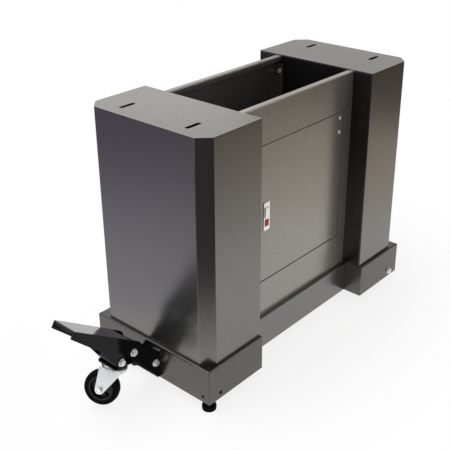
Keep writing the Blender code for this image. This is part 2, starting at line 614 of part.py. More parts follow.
# Fixed wheels: each on a bolt through the plinth wall and a bracket under its flange
bracket_top = PLINTH_TOP - PLINTH_SHEET - GAP
half_bracket = WHEEL_BRACKET_WIDTH / 2
leg_gap = WHEEL_WIDTH / 2 + WHEEL_SIDE_PLAY
leg = belt([(AXLE_X, WHEEL_RADIUS, WHEEL_BRACKET_EAR), (AXLE_X + half_bracket, bracket_top, 0),
            (AXLE_X - half_bracket, bracket_top, 0)])
leg_out = leg_gap + WHEEL_BRACKET_SHEET
bracket_web = box(AXLE_X - half_bracket + 0.0001, AXLE_X + half_bracket - 0.0001,
                  -FIXED_WHEEL_Y - leg_out + 0.0001, -FIXED_WHEEL_Y + leg_out - 0.0001,
                  bracket_top - WHEEL_BRACKET_SHEET, bracket_top - 0.0001)
bracket_legs = [prism(leg, -FIXED_WHEEL_Y + low, -FIXED_WHEEL_Y + low + WHEEL_BRACKET_SHEET, "Y")
                for low in (-leg_out, leg_gap)]
axle_seat = -PLINTH_Y - GAP
axle_nut_seat = -FIXED_WHEEL_Y + leg_out + GAP
axle_length = axle_nut_seat + NUT_HEIGHT + 0.002 - axle_seat
axle_bolt = aimed(bolt(AXLE_RADIUS, axle_length, BOLT_FLAT, BOLT_HEAD, BOLT_FLANGE), "Y",
                  (AXLE_X, axle_seat, WHEEL_RADIUS))
axle_nut = aimed(nut(AXLE_RADIUS, BOLT_FLAT, NUT_HEIGHT), "Y", (AXLE_X, axle_nut_seat, WHEEL_RADIUS))
half_wheel = WHEEL_WIDTH / 2
bore = AXLE_RADIUS + HOLE_PLAY
tread_edge = (WHEEL_RADIUS - TYRE_CROWN, half_wheel - TYRE_SHOULDER)
tyre_side = WHEEL_RADIUS - TYRE_CROWN - TYRE_SHOULDER
wheel = turned([(bore, -half_wheel), (BOSS_RADIUS, -half_wheel), (HUB_RADIUS, -half_wheel + 0.005),
                (tyre_side, -half_wheel), (tread_edge[0], -tread_edge[1]), (WHEEL_RADIUS, 0), tread_edge,
                (tyre_side, half_wheel), (HUB_RADIUS, half_wheel - 0.005), (BOSS_RADIUS, half_wheel),
                (bore, half_wheel)], 32, closed=True)
for face, y_side in (("front", 1), ("back", -1)):
    piece(face + "_wheel_bracket", flipped(bracket_web, 1, y_side), "zinc", stand,
          adds=[flipped(part, 1, y_side) for part in bracket_legs],
          cuts=[rod(bore, "Y", (AXLE_X, y_side * -FIXED_WHEEL_Y - 0.03, WHEEL_RADIUS), 0.06)])
    piece(face + "_axle_bolt", flipped(axle_bolt, 1, y_side), "zinc", stand)
    piece(face + "_axle_nut", flipped(axle_nut, 1, y_side), "zinc", stand)
    wheel_pivot = empty(face + "_wheel_pivot", (AXLE_X, y_side * -FIXED_WHEEL_Y, WHEEL_RADIUS), stand)
    piece(face + "_fixed_wheel", aimed(wheel, "Y", (0, 0, 0)), "rubber", wheel_pivot)

# Pedal bracket: a channel on the end of the left plinth, with ears for the pedal and holes for the arm
bracket_y = PEDAL_WIDTH / 2 - PEDAL_SHEET - 0.0005
web_x = -FACE_X - GAP
cheek = belt([(PIVOT_X, PIVOT_HEIGHT, BRACKET_EAR), (web_x - 0.008, BRACKET_BOTTOM, 0), (web_x, BRACKET_BOTTOM, 0),
              (web_x, BRACKET_TOP, 0)], 10)
cheeks = [prism(cheek, low, low + BRACKET_SHEET, "Y") for low in (-bracket_y, bracket_y - BRACKET_SHEET)]
bracket_pivots = [rod(bore, "Y", (x, -0.05, z), 0.1)
                  for x, z in ((PIVOT_X, PIVOT_HEIGHT), (ARM_PIVOT_X, ARM_PIVOT_HEIGHT))]
piece("pedal_bracket", box(web_x - BRACKET_SHEET, web_x - 0.0001, -bracket_y + 0.0001, bracket_y - 0.0001,
                           BRACKET_BOTTOM + 0.0001, BRACKET_TOP - 0.0001), "gloss_black", stand, adds=cheeks,
      cuts=bracket_pivots + bracket_holes)
for place, height in bracket_bolt_heights.items():
    piece("bracket_bolt_" + place, aimed(bolt(SCREW_RADIUS, 0.016, SCREW_FLAT, SCREW_HEAD, SCREW_FLAT * 0.55), "X",
                                         (web_x - BRACKET_SHEET - GAP, 0, height)), "zinc", stand)


def cross_bolt(name, x, z, half_width, parent):
    """Bolt along Y with its head at -Y, and the nut at its other end."""
    shank = bolt(AXLE_RADIUS, 2 * half_width + NUT_HEIGHT + 0.003, BOLT_FLAT, BOLT_HEAD, BOLT_FLANGE)
    piece(name + "_bolt", aimed(shank, "Y", (x, -half_width, z)), "zinc", parent)
    piece(name + "_nut", aimed(nut(AXLE_RADIUS, BOLT_FLAT, NUT_HEIGHT), "Y", (x, half_width, z)), "zinc", parent)


cross_bolt("pedal_pivot", PIVOT_X, PIVOT_HEIGHT, PEDAL_WIDTH / 2 + GAP, stand)
cross_bolt("arm_pivot", ARM_PIVOT_X, ARM_PIVOT_HEIGHT, bracket_y + GAP, stand)

# Pedal: a channel with its tread level in its own frame, about the pivot, and a roller between its sides
pedal_pivot = empty("pedal_pivot", (PIVOT_X, 0, PIVOT_HEIGHT), stand, PEDAL_TILT)
half_pedal = PEDAL_WIDTH / 2
lip_z = TREAD_RISE - PEDAL_LIP
pedal_side = belt([(-PEDAL_LENGTH, TREAD_RISE, 0), (-PEDAL_LENGTH, lip_z, 0),
                   (-PEDAL_KNEE_OUT, -PEDAL_KNEE_DOWN, 0), (-ROLLER_OUT, -ROLLER_DOWN, ROLLER_CHEEK),
                   (0, 0, TREAD_RISE)], 10)
pedal_sides = [prism(pedal_side, low, low + PEDAL_SHEET, "Y") for low in (-half_pedal, half_pedal - PEDAL_SHEET)]
tread = sheet([(-PEDAL_LENGTH + 0.0001, TREAD_RISE - TREAD_LIP), (-PEDAL_LENGTH + 0.0001, TREAD_RISE - 0.0001),
               (-TREAD_START, TREAD_RISE - 0.0001)], -PEDAL_SHEET * 0.9, -half_pedal + 0.0001,
              half_pedal - 0.0001, "Y")
relief_outline = [(-PEDAL_LENGTH - 0.002, TREAD_RISE - TREAD_LIP - 0.002),
                  (-PEDAL_LENGTH + 1.5 * PEDAL_SHEET, TREAD_RISE - TREAD_LIP - 0.002),
                  (-PEDAL_LENGTH + 1.5 * PEDAL_SHEET, TREAD_RISE - 1.5 * PEDAL_SHEET),
                  (-PEDAL_LENGTH - 0.002, TREAD_RISE - 1.5 * PEDAL_SHEET)]
reliefs = [prism(relief_outline, low, low + LIP_RELIEF, "Y")
           for low in (-half_pedal + PEDAL_SHEET, half_pedal - PEDAL_SHEET - LIP_RELIEF)]
pedal_bores = [rod(bore, "Y", (x, -0.05, z), 0.1) for x, z in ((0, 0), (-ROLLER_OUT, -ROLLER_DOWN))]
piece("pedal", tread, "gloss_black", pedal_pivot, adds=pedal_sides, cuts=pedal_bores + reliefs)
cross_bolt("roller", -ROLLER_OUT, -ROLLER_DOWN, half_pedal + GAP, pedal_pivot)
roller_pivot = empty("roller_pivot", (-ROLLER_OUT, 0, -ROLLER_DOWN), pedal_pivot)
half_roller = half_pedal - PEDAL_SHEET - 0.001
piece("pedal_roller", aimed(turned([(bore, -half_roller), (ROLLER_RADIUS - 0.001, -half_roller),
                                    (ROLLER_RADIUS, -half_roller + 0.001), (ROLLER_RADIUS, half_roller - 0.001),
                                    (ROLLER_RADIUS - 0.001, half_roller), (bore, half_roller)], 24, closed=True),
                            "Y", (0, 0, 0)), "plastic", roller_pivot)

# Swing arm: level in its own frame when the pedal is down, and lifted until it meets the roller at rest
roller_x = PIVOT_X - ROLLER_OUT * cos(PEDAL_TILT) - ROLLER_DOWN * sin(PEDAL_TILT)
roller_z = PIVOT_HEIGHT + ROLLER_OUT * sin(PEDAL_TILT) - ROLLER_DOWN * cos(PEDAL_TILT)
arm_top = ((roller_x - ARM_PIVOT_X) * sin(ARM_LIFT) + (roller_z - ARM_PIVOT_HEIGHT) * cos(ARM_LIFT)
           - ROLLER_RADIUS - GAP)
arm_under = arm_top - ARM_SHEET
arm_pivot = empty("arm_pivot", (ARM_PIVOT_X, 0, ARM_PIVOT_HEIGHT), stand, ARM_LIFT)
wide = ARM_END_WIDTH / 2
narrow = ARM_WIDTH / 2
arm_plate = prism(belt([(-ARM_LENGTH + ARM_CORNER, -wide + ARM_CORNER, ARM_CORNER),
                        (-KINGPIN_REACH + 0.006, -wide, 0),
                        (-KINGPIN_REACH + 0.016, -narrow, 0), (-0.002, -narrow, 0), (-0.002, narrow, 0),
                        (-KINGPIN_REACH + 0.016, narrow, 0), (-KINGPIN_REACH + 0.006, wide, 0),
                        (-ARM_LENGTH + ARM_CORNER, wide - ARM_CORNER, ARM_CORNER)]), arm_under, arm_top)
arm_root = KINGPIN_REACH - CROWN_RADIUS - 0.005
arm_side = belt([(-arm_root, arm_top - 0.001, 0), (-arm_root, arm_under - 0.006, 0), (0, 0, ARM_EAR),
                 (-0.003, arm_top - 0.001, 0)])
arm_sides = [prism(arm_side, low, low + ARM_SHEET, "Y") for low in (-narrow + 0.0001, narrow - ARM_SHEET - 0.0001)]
piece("caster_arm", arm_plate, "gloss_black", arm_pivot, adds=arm_sides,
      cuts=[rod(bore, "Y", (0, -0.05, 0), 0.1),
            rod(KINGPIN_RADIUS + HOLE_PLAY, "Z", (-KINGPIN_REACH, 0, arm_under - 0.01), 0.03)])

# Caster: a fixed head with a riveted kingpin, and a fork whose wheel trails to the back and left at rest
head_top = arm_under - GAP
crown_top = head_top - HEAD_HEIGHT - GAP
crown_low = crown_top - CROWN_HEIGHT
head = turned([(KINGPIN_RADIUS * 0.9, arm_top - 0.0005), (KINGPIN_RADIUS, arm_top - 0.001),
               (KINGPIN_RADIUS, head_top), (HEAD_RADIUS, head_top), (HEAD_RADIUS, head_top - HEAD_HEIGHT),
               (KINGPIN_RADIUS, head_top - HEAD_HEIGHT), (KINGPIN_RADIUS, crown_low - GAP),
               (0.010, crown_low - GAP), (0.008, crown_low - 0.003)], 24)
piece("caster_head", moved(head, -KINGPIN_REACH), "zinc", arm_pivot)
swivel = empty("caster_swivel", (-KINGPIN_REACH, 0, crown_top), arm_pivot, turn=CASTER_SWIVEL)
axle_lean = asin(cos(CASTER_SWIVEL) * sin(ARM_LIFT))
wheel_reach = tread_edge[0] * cos(axle_lean) + tread_edge[1] * sin(axle_lean)
axle_out = KINGPIN_REACH + CASTER_TRAIL * sin(CASTER_SWIVEL)
axle_z = (CASTER_FLOOR_GAP + wheel_reach - ARM_PIVOT_HEIGHT - axle_out * sin(ARM_LIFT)) / cos(ARM_LIFT)
axle_drop = crown_top - axle_z
fork_gap = WHEEL_WIDTH / 2 + 0.001 + WHEEL_SIDE_PLAY
crown_bore = KINGPIN_RADIUS + HOLE_PLAY
crown = turned([(crown_bore, 0), (CROWN_RADIUS, 0), (CROWN_RADIUS, -CROWN_HEIGHT * 0.6),
                (CROWN_RADIUS - 0.004, -CROWN_HEIGHT), (crown_bore, -CROWN_HEIGHT)], 24, closed=True)
fork_leg = belt([(-CROWN_RADIUS + 0.003, -0.003, 0), (CASTER_TRAIL, -axle_drop, FORK_EAR),
                 (CROWN_RADIUS, -0.003, 0)], 8)
fork_legs = [prism(fork_leg, low, low + FORK_SHEET, "X") for low in (-fork_gap - FORK_SHEET, fork_gap)]
piece("caster_fork", crown, "zinc", swivel, adds=fork_legs,
      cuts=[rod(bore, "X", (-0.05, CASTER_TRAIL, -axle_drop), 0.1)])
axle_half = fork_gap + FORK_SHEET + GAP
caster_bolt = bolt(AXLE_RADIUS, 2 * axle_half + NUT_HEIGHT + 0.002, BOLT_FLAT, BOLT_HEAD, BOLT_FLAT * 0.55)
caster_nut = nut(AXLE_RADIUS, BOLT_FLAT, NUT_HEIGHT)
piece("caster_axle_bolt", aimed(caster_bolt, "X", (-axle_half, CASTER_TRAIL, -axle_drop)), "zinc", swivel)
piece("caster_axle_nut", aimed(caster_nut, "X", (axle_half, CASTER_TRAIL, -axle_drop)), "zinc", swivel)
caster_pivot = empty("caster_wheel_pivot", (0, CASTER_TRAIL, -axle_drop), swivel)
tyre = turned([(HUB_RADIUS, -half_wheel), (tyre_side, -half_wheel), (tread_edge[0], -tread_edge[1]),
               (WHEEL_RADIUS, 0), tread_edge, (tyre_side, half_wheel), (HUB_RADIUS, half_wheel)], 36, closed=True)
hub_edge = HUB_RADIUS - GAP
hub_half = half_wheel + 0.001
hub_rim = HUB_RADIUS - 0.005
hub = turned([(bore, -hub_half), (BOSS_RADIUS, -hub_half), (hub_rim, -half_wheel + 0.006),
              (hub_rim, -half_wheel + 0.001), (hub_edge, -half_wheel + 0.001), (hub_edge, half_wheel - 0.001),
              (hub_rim, half_wheel - 0.001), (hub_rim, half_wheel - 0.006), (BOSS_RADIUS, hub_half),
              (bore, hub_half)], 32, closed=True)
piece("caster_tyre", aimed(tyre, "X", (0, 0, 0)), "rubber", caster_pivot)
piece("caster_hub", aimed(hub, "X", (0, 0, 0)), "plastic", caster_pivot)
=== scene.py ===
"""Looks of a drum sander stand: coated sheet-steel columns, a trough with a door, and a foot-pedal caster."""
import json
from math import cos, pi, radians, sin

import bmesh
import bpy
from mathutils import Matrix, Vector


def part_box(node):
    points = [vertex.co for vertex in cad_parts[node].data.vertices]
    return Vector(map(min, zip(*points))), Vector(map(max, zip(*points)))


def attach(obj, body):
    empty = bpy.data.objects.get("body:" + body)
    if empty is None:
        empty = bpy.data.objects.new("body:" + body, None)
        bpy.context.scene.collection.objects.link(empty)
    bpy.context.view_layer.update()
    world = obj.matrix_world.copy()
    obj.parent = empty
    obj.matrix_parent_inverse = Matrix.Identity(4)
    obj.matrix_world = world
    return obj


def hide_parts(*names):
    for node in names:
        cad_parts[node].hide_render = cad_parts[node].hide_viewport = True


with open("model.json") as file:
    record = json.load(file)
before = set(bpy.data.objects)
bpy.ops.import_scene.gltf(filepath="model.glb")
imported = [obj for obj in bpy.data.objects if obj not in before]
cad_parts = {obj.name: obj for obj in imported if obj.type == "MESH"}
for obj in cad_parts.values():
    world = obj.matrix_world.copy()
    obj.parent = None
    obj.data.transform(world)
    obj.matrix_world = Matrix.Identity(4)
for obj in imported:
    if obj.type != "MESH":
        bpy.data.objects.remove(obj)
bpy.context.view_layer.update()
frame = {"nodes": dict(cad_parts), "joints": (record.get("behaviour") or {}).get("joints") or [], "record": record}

# ------------------------------------------------------------------ Columns
# Each column is a wrap folded from 1.5 mm steel sheet, an inner panel spot-welded into it, and a
# slotted 3 mm top plate. The cut edges are deburred and the whole is powder coated. The inner panels
# get a darker coat: painted shade, for the dark recess beside the door that they face.

bodies = {node: body for body, nodes in frame["record"]["behaviour"]["bodies"].items() for node in nodes}


def tone(code):
    """Linear colour of an sRGB hex code."""
    parts = [int(code[i:i + 2], 16) / 255 for i in (1, 3, 5)]
    return [p / 12.92 if p <= 0.04045 else ((p + 0.055) / 1.055) ** 2.4 for p in parts] + [1.0]


def add_node(tree, kind, sockets={}, links={}, **settings):
    """Add one shader node with its socket values, incoming links and settings."""
    new = tree.nodes.new(kind)
    for key, value in settings.items():
        setattr(new, key, value)
    for key, value in sockets.items():
        new.inputs[key].default_value = value
    for key, source in links.items():
        tree.links.new(source, new.inputs[key])
    return new


def fitted(piece, node, finish):
    """Give a piece its finish and let it stand for a CAD node, on that node's body."""
    piece.data.materials.clear()
    piece.data.materials.append(finish)
    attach(piece, bodies[node])
    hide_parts(node)
    return piece


SAME_PLACE = 1e-5
HARD_ANGLE = radians(32)


def deburred(node, edge, finish, fold=0.0, sink=0.0):
    """Copy a CAD piece with its hard edges broken by a small round.

    The outer front folds may have a larger round, and the front face may be set back a little.
    """
    mesh = frame["nodes"][node].data.copy()
    shape = bmesh.new()
    shape.from_mesh(mesh)
    bmesh.ops.remove_doubles(shape, verts=shape.verts, dist=2e-6)
    low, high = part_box(node)
    for corner in shape.verts:
        if corner.co.y < low.y + SAME_PLACE:
            corner.co.y += sink
    if fold:
        rim = []
        for line in shape.edges:
            ends = [v.co for v in line.verts]
            on_front = all(abs(end.y - low.y) < SAME_PLACE for end in ends)
            on_side = any(all(abs(end[i] - limit[i]) < SAME_PLACE for end in ends)
                          for i in (0, 2) for limit in (low, high))
            if on_front and on_side:
                rim.append(line)
        bmesh.ops.bevel(shape, geom=rim, offset=fold, segments=4, profile=0.5, affect="EDGES", clamp_overlap=True)
    hard = [line for line in shape.edges if line.is_manifold and line.calc_face_angle() > HARD_ANGLE]
    bmesh.ops.bevel(shape, geom=hard, offset=edge, segments=2, profile=0.5, affect="EDGES", clamp_overlap=True)
    for face in shape.faces:
        face.smooth = True
    shape.to_mesh(mesh)
    shape.free()
    piece = bpy.data.objects.new(node + "_dressed", mesh)
    bpy.context.scene.collection.objects.link(piece)
    flat = piece.modifiers.new("flat faces stay flat", "WEIGHTED_NORMAL")
    flat.weight = 90
    return fitted(piece, node, finish)


FLAKE = 0.003
ORANGE_PEEL = 0.005
CLOUD = 0.16


def powder_coat(name, dark, light, metal=0.9):
    """Metallic powder coat: semi-gloss, with fine aluminium flakes that sparkle and a slight orange peel.

    The flakes are about 0.05 mm across and are drawn at 3 mm, because finer ones would not show.
    """
    coat = bpy.data.materials.new(name)
    coat.use_nodes = True
    tree = coat.node_tree
    where = add_node(tree, "ShaderNodeTexCoord")
    flakes = add_node(tree, "ShaderNodeTexNoise", {"Scale": 1 / FLAKE, "Detail": 2.0, "Roughness": 0.7},
                      {"Vector": where.outputs["Object"]})
    tint = add_node(tree, "ShaderNodeValToRGB", links={"Fac": flakes.outputs["Fac"]})
    tint.color_ramp.elements[0].position = 0.2
    tint.color_ramp.elements[0].color = tone(dark)
    tint.color_ramp.elements[1].position = 0.8
    tint.color_ramp.elements[1].color = tone(light)
    clouds = add_node(tree, "ShaderNodeTexNoise", {"Scale": 1 / CLOUD, "Detail": 1.0},
                      {"Vector": where.outputs["Object"]})
    gloss = add_node(tree, "ShaderNodeMapRange", {"To Min": 0.21, "To Max": 0.28}, {"Value": clouds.outputs["Fac"]})
    peel = add_node(tree, "ShaderNodeTexNoise", {"Scale": 1 / ORANGE_PEEL, "Detail": 1.0},
                    {"Vector": where.outputs["Object"]})
    skin = add_node(tree, "ShaderNodeBump", {"Strength": 0.035, "Distance": 0.0003}, {"Height": peel.outputs["Fac"]})
    face = tree.nodes["Principled BSDF"]
    face.inputs["Metallic"].default_value = metal
    tree.links.new(tint.outputs["Color"], face.inputs["Base Color"])
    tree.links.new(gloss.outputs["Result"], face.inputs["Roughness"])
    tree.links.new(skin.outputs["Normal"], face.inputs["Normal"])
    return coat


SHEET_EDGE = 0.0004
TOP_PLATE_EDGE = 0.0009
column_coat = powder_coat("charcoal_metallic_powder_coat", "#6a6866", "#888683")
# The inner panels' coat is darker than the columns': painted shade, for the recess beside the door.
inner_coat_with_painted_shade = powder_coat("powder_coat_of_recesses_darkened_as_painted_shade", "#3b3a39", "#4d4c4b")
for side in ("left", "right"):
    deburred(side + "_column_shell", SHEET_EDGE, column_coat)
    deburred(side + "_column_inner_panel", SHEET_EDGE, inner_coat_with_painted_shade)
    deburred(side + "_column_top", TOP_PLATE_EDGE, column_coat)

# ------------------------------------------------------------------ Plinths and rails
# The skirts under the columns are pressed from 2 mm sheet and welded at mitred corners; the rails
# between them are folded channels. The ground-off corner joints still show as fine dark lines.
# The plinths' coat is darker than the columns': painted shade, for the shaded floor close to the stand that their low
# faces mirror.
plinth_coat_with_painted_shade = powder_coat("charcoal_powder_coat_of_plinths_darkened_as_painted_shade", "#545251", "#6b6967")
for node in ("left_plinth", "right_plinth"):
    deburred(node, SHEET_EDGE, plinth_coat_with_painted_shade)
for node in ("front_rail", "back_rail"):
    deburred(node, SHEET_EDGE, column_coat)

CREASE = radians(35)


def made(name, verts, faces):
    """Make a mesh piece from its points and faces, in the part's own frame."""
    mesh = bpy.data.meshes.new(name)
    mesh.from_pydata([tuple(v) for v in verts], [], faces)
    shape = bmesh.new()
    shape.from_mesh(mesh)
    bmesh.ops.recalc_face_normals(shape, faces=shape.faces)
    for surface in shape.faces:
        surface.smooth = True
    shape.to_mesh(mesh)
    shape.free()
    mesh.set_sharp_from_angle(angle=CREASE)
    piece = bpy.data.objects.new(name, mesh)
    bpy.context.scene.collection.objects.link(piece)
    return piece


# Powder coat sunk into a ground weld: a darker and duller hairline, uneven over about 4 mm.
joint_line = bpy.data.materials.new("sunk_coat_over_weld")
joint_line.use_nodes = True
tree = joint_line.node_tree
where = add_node(tree, "ShaderNodeTexCoord")
sunk = add_node(tree, "ShaderNodeTexNoise", {"Scale": 1 / 0.004, "Detail": 2.0}, {"Vector": where.outputs["Object"]})
dull = add_node(tree, "ShaderNodeValToRGB", links={"Fac": sunk.outputs["Fac"]})
dull.color_ramp.elements[0].color = tone("#2b2a2b")
dull.color_ramp.elements[1].color = tone("#424143")
face = tree.nodes["Principled BSDF"]
face.inputs["Metallic"].default_value = 0.5
face.inputs["Roughness"].default_value = 0.6
tree.links.new(dull.outputs["Color"], face.inputs["Base Color"])

JOINT_WIDTH = 0.0008
JOINT_PROUD = 0.00006
JOINT_START = 0.001
SHOULDER = 0.004
SHOULDER_STEPS = 6
MITRE_LENGTH = 0.0185
for side, x_way in (("left", -1), ("right", 1)):
    low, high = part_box(side + "_plinth")
    corner_x = low.x if x_way < 0 else high.x
    for end, y_way in (("front", -1), ("back", 1)):
        corner_y = low.y if y_way < 0 else high.y
        out = Vector((x_way, y_way, 0))
        across = Vector((-y_way, x_way, 0)) * (JOINT_WIDTH / 2 / 2 ** 0.5)
        path = [(0.0, low.z + JOINT_START)]
        for step in range(SHOULDER_STEPS + 1):
            angle = pi / 2 * step / SHOULDER_STEPS
            path.append((SHOULDER * (1 - cos(angle)), high.z - SHOULDER * (1 - sin(angle))))
        path.append((MITRE_LENGTH, high.z))
        verts = []
        for inset, z in path:
            lift = JOINT_PROUD if z < high.z - 1e-6 else 0.0
            rise = JOINT_PROUD if z > high.z - SHOULDER else 0.0
            spot = Vector((corner_x, corner_y, z + rise)) - out * (inset - lift)
            verts += [spot - across, spot + across]
        for inset, z in path:
            spot = Vector((corner_x, corner_y, z - JOINT_WIDTH / 4)) - out * (inset + JOINT_WIDTH)
            verts += [spot - across, spot + across]
        rows = len(path)
        faces = []
        for i in range(rows - 1):
            a = 2 * i
            b = 2 * (rows + i)
            faces += [(a, a + 1, a + 3, a + 2), (b, b + 2, b + 3, b + 1), (a, a + 2, b + 2, b),
                      (a + 1, b + 1, b + 3, a + 3)]
        end_a = 2 * (rows - 1)
        end_b = 2 * (2 * rows - 1)
        faces += [(0, 2 * rows, 2 * rows + 1, 1), (end_a, end_a + 1, end_b + 1, end_b)]
        seam = made(f"{side}_plinth_{end}_joint", verts, faces)
        seam.data.materials.append(joint_line)
        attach(seam, "stand")

# ------------------------------------------------------------------ Trough
# Front and back panels with folded rims are bolted between the columns, over a tray that lies on the
# rails. The front panel and the door get a lighter, warmer coat than the rest: painted light, for the
# warm light they catch from the front.
panel_coat_with_painted_light = powder_coat("charcoal_powder_coat_lightened_as_painted_light", "#8d8984", "#a5a19b", metal=0.6)
trough_coat = powder_coat("charcoal_powder_coat_of_trough", "#73706d", "#8d8a87", metal=0.72)
deburred("front_panel", SHEET_EDGE, panel_coat_with_painted_light)
for node in ("back_panel", "floor_panel"):
    deburred(node, SHEET_EDGE, trough_coat)

# Bright zinc plate on steel: a clear, slightly bluish silver with a soft mottle from the plating bath,
# about 6 mm across.
zinc = bpy.data.materials.new("bright_zinc_plate")
zinc.use_nodes = True
tree = zinc.node_tree
where = add_node(tree, "ShaderNodeTexCoord")
mottle = add_node(tree, "ShaderNodeTexNoise", {"Scale": 1 / 0.006, "Detail": 1.0}, {"Vector": where.outputs["Object"]})
silver = add_node(tree, "ShaderNodeValToRGB", links={"Fac": mottle.outputs["Fac"]})
silver.color_ramp.elements[0].color = tone("#e9ecea")
silver.color_ramp.elements[1].color = tone("#fafbf8")
haze = add_node(tree, "ShaderNodeMapRange", {"To Min": 0.26, "To Max": 0.34}, {"Value": mottle.outputs["Fac"]})
face = tree.nodes["Principled BSDF"]
face.inputs["Metallic"].default_value = 0.65
tree.links.new(silver.outputs["Color"], face.inputs["Base Color"])
tree.links.new(haze.outputs["Result"], face.inputs["Roughness"])


def along(node, axis):
    """Middle of a turned CAD piece, and where it starts and ends along its axis."""
    axis = Vector(axis).normalized()
    u = axis.orthogonal().normalized()
    v = axis.cross(u)
    points = [p.co for p in frame["nodes"][node].data.vertices]
    middle = Vector((0, 0, 0))
    for way in (u, v):
        reach = [p.dot(way) for p in points]
        middle += way * (min(reach) + max(reach)) / 2
    reach = [p.dot(axis) for p in points]
    return middle, axis, min(reach), max(reach)


def turned(name, rings, middle, axis, closed=False, count=48):
    """Join rings of points along an axis into one piece; radius and height may change with the angle."""
    u = axis.orthogonal().normalized()
    v = axis.cross(u)
    verts = []
    for radius, height in rings:
        for i in range(count):
            angle = 2 * pi * i / count
            r = radius(angle) if callable(radius) else radius
            h = height(angle) if callable(height) else height
            verts.append(middle + axis * h + (u * cos(angle) + v * sin(angle)) * r)
    faces = []
    for row in range(len(rings) if closed else len(rings) - 1):
        a = row * count
        b = (row + 1) % len(rings) * count
        for i in range(count):
            j = (i + 1) % count
            faces.append((a + i, a + j, b + j, b + i))
    if not closed:
        faces += [tuple(range(count))[::-1], tuple(range(len(verts) - count, len(verts)))]
    return made(name, verts, faces)


def hex_ring(flat, limit):
    """Radius of a hexagon, cut back to a round of the given radius at its corners."""
    def radius(angle):
        off = (angle + pi / 6) % (pi / 3) - pi / 6
        return min(flat / 2 / cos(off), limit)
    return radius


def thread_rings(radius, pitch, start, end):
    """Rings of a rolled screw thread that runs out at both ends."""
    rings = []
    turns = max(1, int((end - start) / pitch * 4))
    for step in range(turns + 1):
        height = start + (end - start) * step / turns
        fade = min(1.0, (height - start) / pitch, (end - height) / pitch)

        def crest(angle, height=height, fade=fade):
            phase = (height / pitch - angle / (2 * pi)) % 1.0
            return radius - 0.54 * pitch * fade * abs(2 * phase - 1)
        rings.append((crest, height))
    return rings


def hex_bolt(node, axis, flat, head, flange, shank, pitch):
    """Flange bolt with a chamfered hexagon and a threaded end, in the place of a CAD bolt."""
    middle, axis, low, high = along(node, axis)
    seat = low + head
    half = flat / 2
    rings = [(half * 0.55, low + 0.0002), (half * 0.6, low + 0.0004), (half * 0.92, low + 0.0002),
             (hex_ring(flat, half * 0.97), low + 0.0004), (hex_ring(flat, half * 1.08), low + head * 0.14),
             (hex_ring(flat, half * 1.2), low + head * 0.3), (hex_ring(flat, half * 1.2), low + head * 0.72),
             (flange * 0.93, low + head * 0.8), (flange, low + head * 0.92), (flange * 0.985, seat - 0.00002),
             (shank, seat)]
    plain = seat + (high - seat) * 0.45
    rings += [(shank, plain)] + thread_rings(shank, pitch, plain, high - pitch * 0.6) + [(shank * 0.78, high)]
    return fitted(turned(node + "_dressed", rings, middle, axis), node, zinc)


M6 = {"flat": 0.010, "head": 0.004, "shank": 0.003, "pitch": 0.001}
for end in ("front", "back"):
    hex_bolt(f"panel_bolt_{end}_left", (-1, 0, 0), flange=0.0062, **M6)
    hex_bolt(f"panel_bolt_{end}_right", (1, 0, 0), flange=0.0062, **M6)

# ------------------------------------------------------------------ Door
# The door is a shallow pan folded from the same sheet. It turns on a pin bracket, screwed on by two
# pan-head screws at its top right, and on a shouldered pin under its lower corner.
DOOR_EDGE = 0.0002
DOOR_FOLD = 0.0014
HINGE_EDGE = 0.0003
# The door wears the front panel's lighter, warmer coat, which is painted light.
deburred("door_panel", DOOR_EDGE, panel_coat_with_painted_light, fold=DOOR_FOLD)
deburred("upper_hinge", HINGE_EDGE, zinc)

PIN = 0.0025
PIN_HEAD = 0.0045
middle, axis, low, high = along("lower_hinge_pin", (0, 0, 1))
head_end = low + 0.0032
shoulder = head_end + 0.0021
shoulder_end = head_end + 0.0035
rings = [(0.0036, low), (PIN_HEAD, low + 0.0007), (PIN_HEAD, head_end), (PIN, head_end), (PIN, shoulder),
         (PIN_HEAD, shoulder), (PIN_HEAD, shoulder_end), (PIN, shoulder_end), (PIN, high - 0.0006), (0.0019, high)]
fitted(turned("lower_hinge_pin_dressed", rings, middle, axis), "lower_hinge_pin", zinc)

